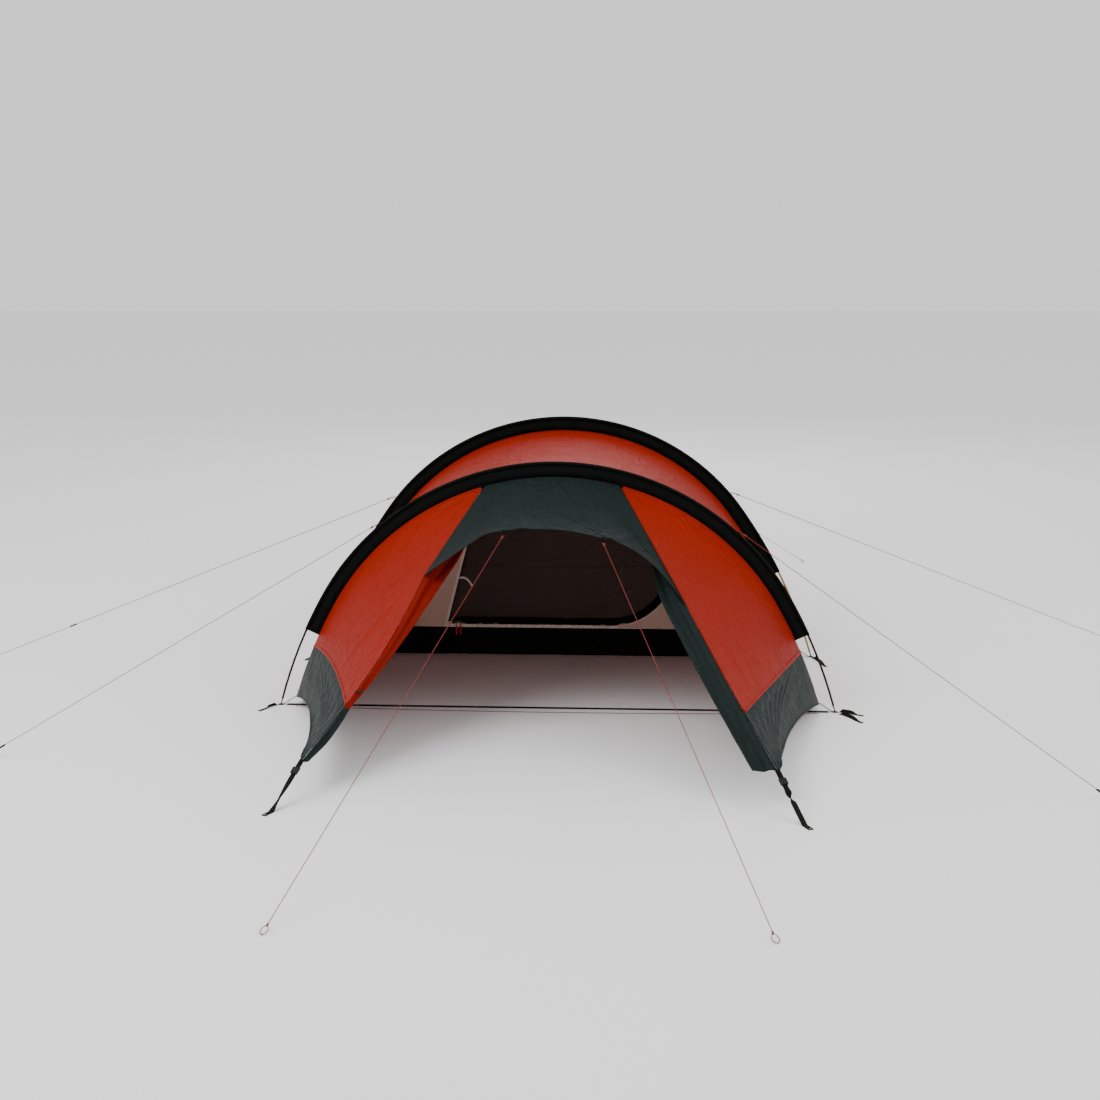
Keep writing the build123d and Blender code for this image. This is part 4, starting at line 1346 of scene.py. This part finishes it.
def eyeletEnd(name, eye, ahead, width, plan):  # flat end of a strap with its hole and a stitched ring
    side = Vector((-ahead.y, ahead.x, 0))
    back = 0.022

    def place(s, t):
        turn = 2 * pi * s
        ray = Vector((cos(turn), sin(turn)))
        rim = ray * plan["eyeR"]
        reach = plan["eyeR"] + plan["tip"]
        edge = ray * (width / 2 / max(abs(ray.y), 1e-6))
        if abs(edge.x) > (reach if ray.x > 0 else back):
            edge = ray * ((reach if ray.x > 0 else back) / abs(ray.x))
        spot = rim.lerp(edge, t)
        return eye + ahead * spot.x + side * spot.y + Vector((0, 0, plan["web"] / 2))

    bm, _, _ = clothGrid(64, 4, place, lambda co: Vector((0, 0, 1)), None)
    bmesh.ops.remove_doubles(bm, verts=bm.verts, dist=0.0002)
    return finishPiece(name, bm, "webbing", solid=plan["web"] * 0.94)


def eyeletRing(name, eye, plan, height):
    bm = bmesh.new()
    bmesh.ops.create_circle(bm, segments=10, radius=0.0009)
    bmesh.ops.rotate(bm, matrix=Matrix.Rotation(pi / 2, 3, "X"), verts=bm.verts)
    bmesh.ops.translate(bm, vec=(plan["eyeR"] + 0.0007, 0, 0), verts=bm.verts)
    bmesh.ops.spin(
        bm, geom=bm.edges[:], cent=(0, 0, 0), axis=(0, 0, 1), angle=2 * pi, steps=32, use_merge=True
    )
    bmesh.ops.translate(bm, vec=(eye.x, eye.y, height), verts=bm.verts)
    bmesh.ops.recalc_face_normals(bm, faces=bm.faces)
    return finishPiece(name, bm, "darkMetal")


def makeCornerStrap(word, plan):
    own = plan[word]
    top = seamPoint(own["side"], porchPlan["end"])
    px, py = porchPlan["peg"][own["side"]]
    eye = Vector((px, tentPlan["frontY"] + py, 0))
    run = (eye - top).normalized()
    start = top - run * 0.012 + Vector((0, 0.002, -0.001))
    level = Vector((eye.x - start.x, eye.y - start.y, 0)).normalized()
    bend = eye - level * plan["flat"] + Vector((0, 0, plan["web"] / 2))
    path = [start, start.lerp(bend, 0.5), bend, eye - level * 0.004 + Vector((0, 0, plan["web"] / 2))]
    side = Vector((-level.y, level.x, 0))

    def across(s):
        k = min(1, max(0, (s - own["from"]) / (own["to"] - own["from"])))
        settled = 1 if own["twists"] == 1 else min(1, max(0, 5 * (0.86 - s)))  # flat again on the ground
        turn = pi * own["twists"] * (k * k * (3 - 2 * k)) * settled
        ahead = (bend - start).normalized() if s < 0.86 else level
        return Matrix.Rotation(turn, 3, ahead) @ side

    strap = ribbon(
        f"{word}_corner_strap_web", path, own["width"], across, lambda co: Vector((0, -0.5, 1)),
        "webbing", 90, solid=plan["web"] * 0.9,
    )
    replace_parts(strap, f"{word}_corner_strap")
    eyeletEnd(f"{word}_corner_strap_end", eye, level, own["width"], plan)
    eyeletRing(f"{word}_corner_eyelet", eye, plan, plan["web"])


for word in ("left", "right"):
    makeCornerStrap(word, strapPlan)

# straps at the pole feet lean over on their way to the eyelet; each run is a hoop, a side,
# and the strap's start and eyelet from the pole foot, out along X and back along Y
footPlan = {
    "half": {"front": 1.100, "mid": 1.100, "rear": 0.900},
    "inset": 0.00425,
    "width": 0.015,
    "lean": 1.05,
    "back": 0.021,
    "runs": {
        "front_left_foot_strap": [("front", -1, (0.017, -0.011), (0.062, -0.088))],
        "front_right_foot_straps": [
            ("front", 1, (0.017, 0.002), (0.096, -0.042)),
            ("front", 1, (0.016, -0.022), (0.082, -0.130)),
        ],
        "back_foot_straps": [
            ("mid", -1, (0.00625, -0.016), (0.04325, -0.155)),
            ("mid", 1, (0.00625, -0.016), (0.04325, -0.155)),
            ("rear", -1, (0.01625, 0.0), (0.09425, 0.030)),
            ("rear", 1, (0.01625, 0.0), (0.09425, 0.030)),
        ],
    },
}


def makeFootStrap(name, hoop, side, start, end, plan):
    foot = Vector((side * (plan["half"][hoop] - plan["inset"]), tentPlan[f"{hoop}Y"], 0))
    first = foot + Vector((side * start[0], start[1], 0))
    eye = foot + Vector((side * end[0], end[1], 0))
    ahead = (eye - first).normalized()
    last = eye - ahead * plan["back"]
    sideways = Vector((-ahead.y, ahead.x, 0))

    def lean(s):
        return plan["lean"] * min(1, 5 * s) * min(1, 3 * (1 - s))

    def across(s):
        return sideways * cos(lean(s)) + Vector((0, 0, 1)) * sin(lean(s))

    points = []
    for i in range(13):
        rise = plan["width"] / 2 * abs(sin(lean(i / 12))) + strapPlan["web"] / 2
        points.append(first.lerp(last, i / 12) + Vector((0, 0, rise)))
    strap = ribbon(
        name, points, plan["width"], across, lambda co: Vector((0, 0, 1)),
        "webbing", 40, solid=strapPlan["web"] * 0.9,
    )
    eyeletEnd(f"{name}_end", eye, ahead, plan["width"], strapPlan)
    return strap


for node, runs in footPlan["runs"].items():
    for i, run in enumerate(runs):
        strap = makeFootStrap(f"{node}_web_{i + 1}", *run, footPlan)
        if i == 0:
            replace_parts(strap, node)

# webbing tabs on the hood's hem that its guy lines pull on
hoodTab = {"width": 0.013, "length": 0.026, "rise": 0.004}
for word in ("left", "right"):
    root = guyStart(f"hood_{word}_guy")
    up = Vector((0, 0.86, 0.50)) * hoodTab["length"]
    front = Vector((0, -hoodTab["rise"], hoodTab["rise"]))
    ribbon(
        f"hood_{word}_tab_web",
        [root + Vector((0, -0.002, -0.004)), root + up * 0.4 + front, root + up + front],
        hoodTab["width"], lambda s: Vector((1, 0, 0)), lambda co: Vector((0, -1, 1)),
        "webbing", 14, solid=0.0014,
    )

# peg eyelets of the other straps take their places from the mounts
for mount in frame["record"]["mounts"]:
    if mount["kind"] == "bore" and "corner" not in mount["name"]:
        spot = Vector(mount["pos_m"])
        eyeletRing(mount["name"].replace("_peg", "_eyelet"), spot, strapPlan, strapPlan["web"])
print("straps made")

# guy tabs carry the line on a small V of cord
loopPlan = {"half": 0.0055, "drop": 0.020, "thick": 0.0022}


def makeTabLoops(plan):
    for name, end in guyLines["ends"].items():
        start = guyStart(name)
        ahead = (Vector((*end, 0)) - start).normalized()
        side = ahead.cross(Vector((0, 0, 1))).normalized()
        if not name.startswith("hood"):
            side = Vector((0, 1, 0))
        knot = start + ahead * plan["drop"]
        for k in (-1, 1):
            corner = start + side * plan["half"] * k - ahead * 0.004
            middle = corner.lerp(knot, 0.5) + side * 0.0015 * k
            word = "near" if k < 0 else "far"
            cordCurve(f"{name}_{word}_loop", [corner, middle, knot], plan["thick"], "guyCord")


makeTabLoops(loopPlan)

# finishes of the CAD pieces that stay in view
nodeFinishes = {
    "poleDark": ["front_pole_sections", "pole_ferrules"],
    "poleGold": ["mid_pole_sections", "rear_pole_sections"],
    "darkMetal": ["pole_tips", "first_slider", "second_slider"],
    "elastic": ["pole_shock_cords", "inner_hangers"],
    "blackPlastic": [
        "foot_plates", "door_toggle", "left_corner_buckle", "right_corner_buckle", "front_left_runner",
        "front_right_runner", "mid_left_runner", "mid_right_runner",
    ],
    "webbing": [
        "base_strap", "back_foot_straps", "front_left_foot_strap", "front_right_foot_straps",
        "foot_tensioners", "tail_peg_straps", "guy_tabs",
    ],
}
for finish, names in nodeFinishes.items():
    for name in names:
        data = nodes[name].data
        data.materials.clear()
        data.materials.append(materials[finish])
print("finishes set")

# pale floor and soft studio light
studio = {"floor": 0.94, "world": 1.05, "key": 300, "fill": 90, "back": 120}


def makeStudio(plan):
    bm = bmesh.new()
    bmesh.ops.create_grid(bm, x_segments=1, y_segments=1, size=40)
    mesh = bpy.data.meshes.new("floor")
    bm.to_mesh(mesh)
    bm.free()
    material, tree, shader = newMaterial("floorPaint", 1.0)
    shader.inputs["Specular IOR Level"].default_value = 0.0
    shader.inputs["Base Color"].default_value = (plan["floor"], plan["floor"], plan["floor"], 1)
    mesh.materials.append(material)
    floor = bpy.data.objects.new("floor", mesh)
    bpy.context.scene.collection.objects.link(floor)
    world = bpy.data.worlds.new("studio")
    world.use_nodes = True
    sky = world.node_tree.nodes["Background"]
    sky.inputs["Color"].default_value = (1, 1, 1, 1)
    sky.inputs["Strength"].default_value = plan["world"]
    bpy.context.scene.world = world
    lamps = [("key", (-3.5, -5.5, 6.0), 4.0), ("fill", (5.0, -4.0, 4.0), 4.0), ("back", (0.5, 5.5, 5.0), 4.0)]
    for name, place, size in lamps:
        light = bpy.data.lights.new(name, "AREA")
        light.energy = plan[name]
        light.size = size
        lamp = bpy.data.objects.new(name, light)
        aim = Vector((0, -0.8, 0.3)) - Vector(place)
        lamp.matrix_world = Matrix.Translation(place) @ aim.to_track_quat("-Z", "Y").to_matrix().to_4x4()
        bpy.context.scene.collection.objects.link(lamp)


makeStudio(studio)
print("studio ready")
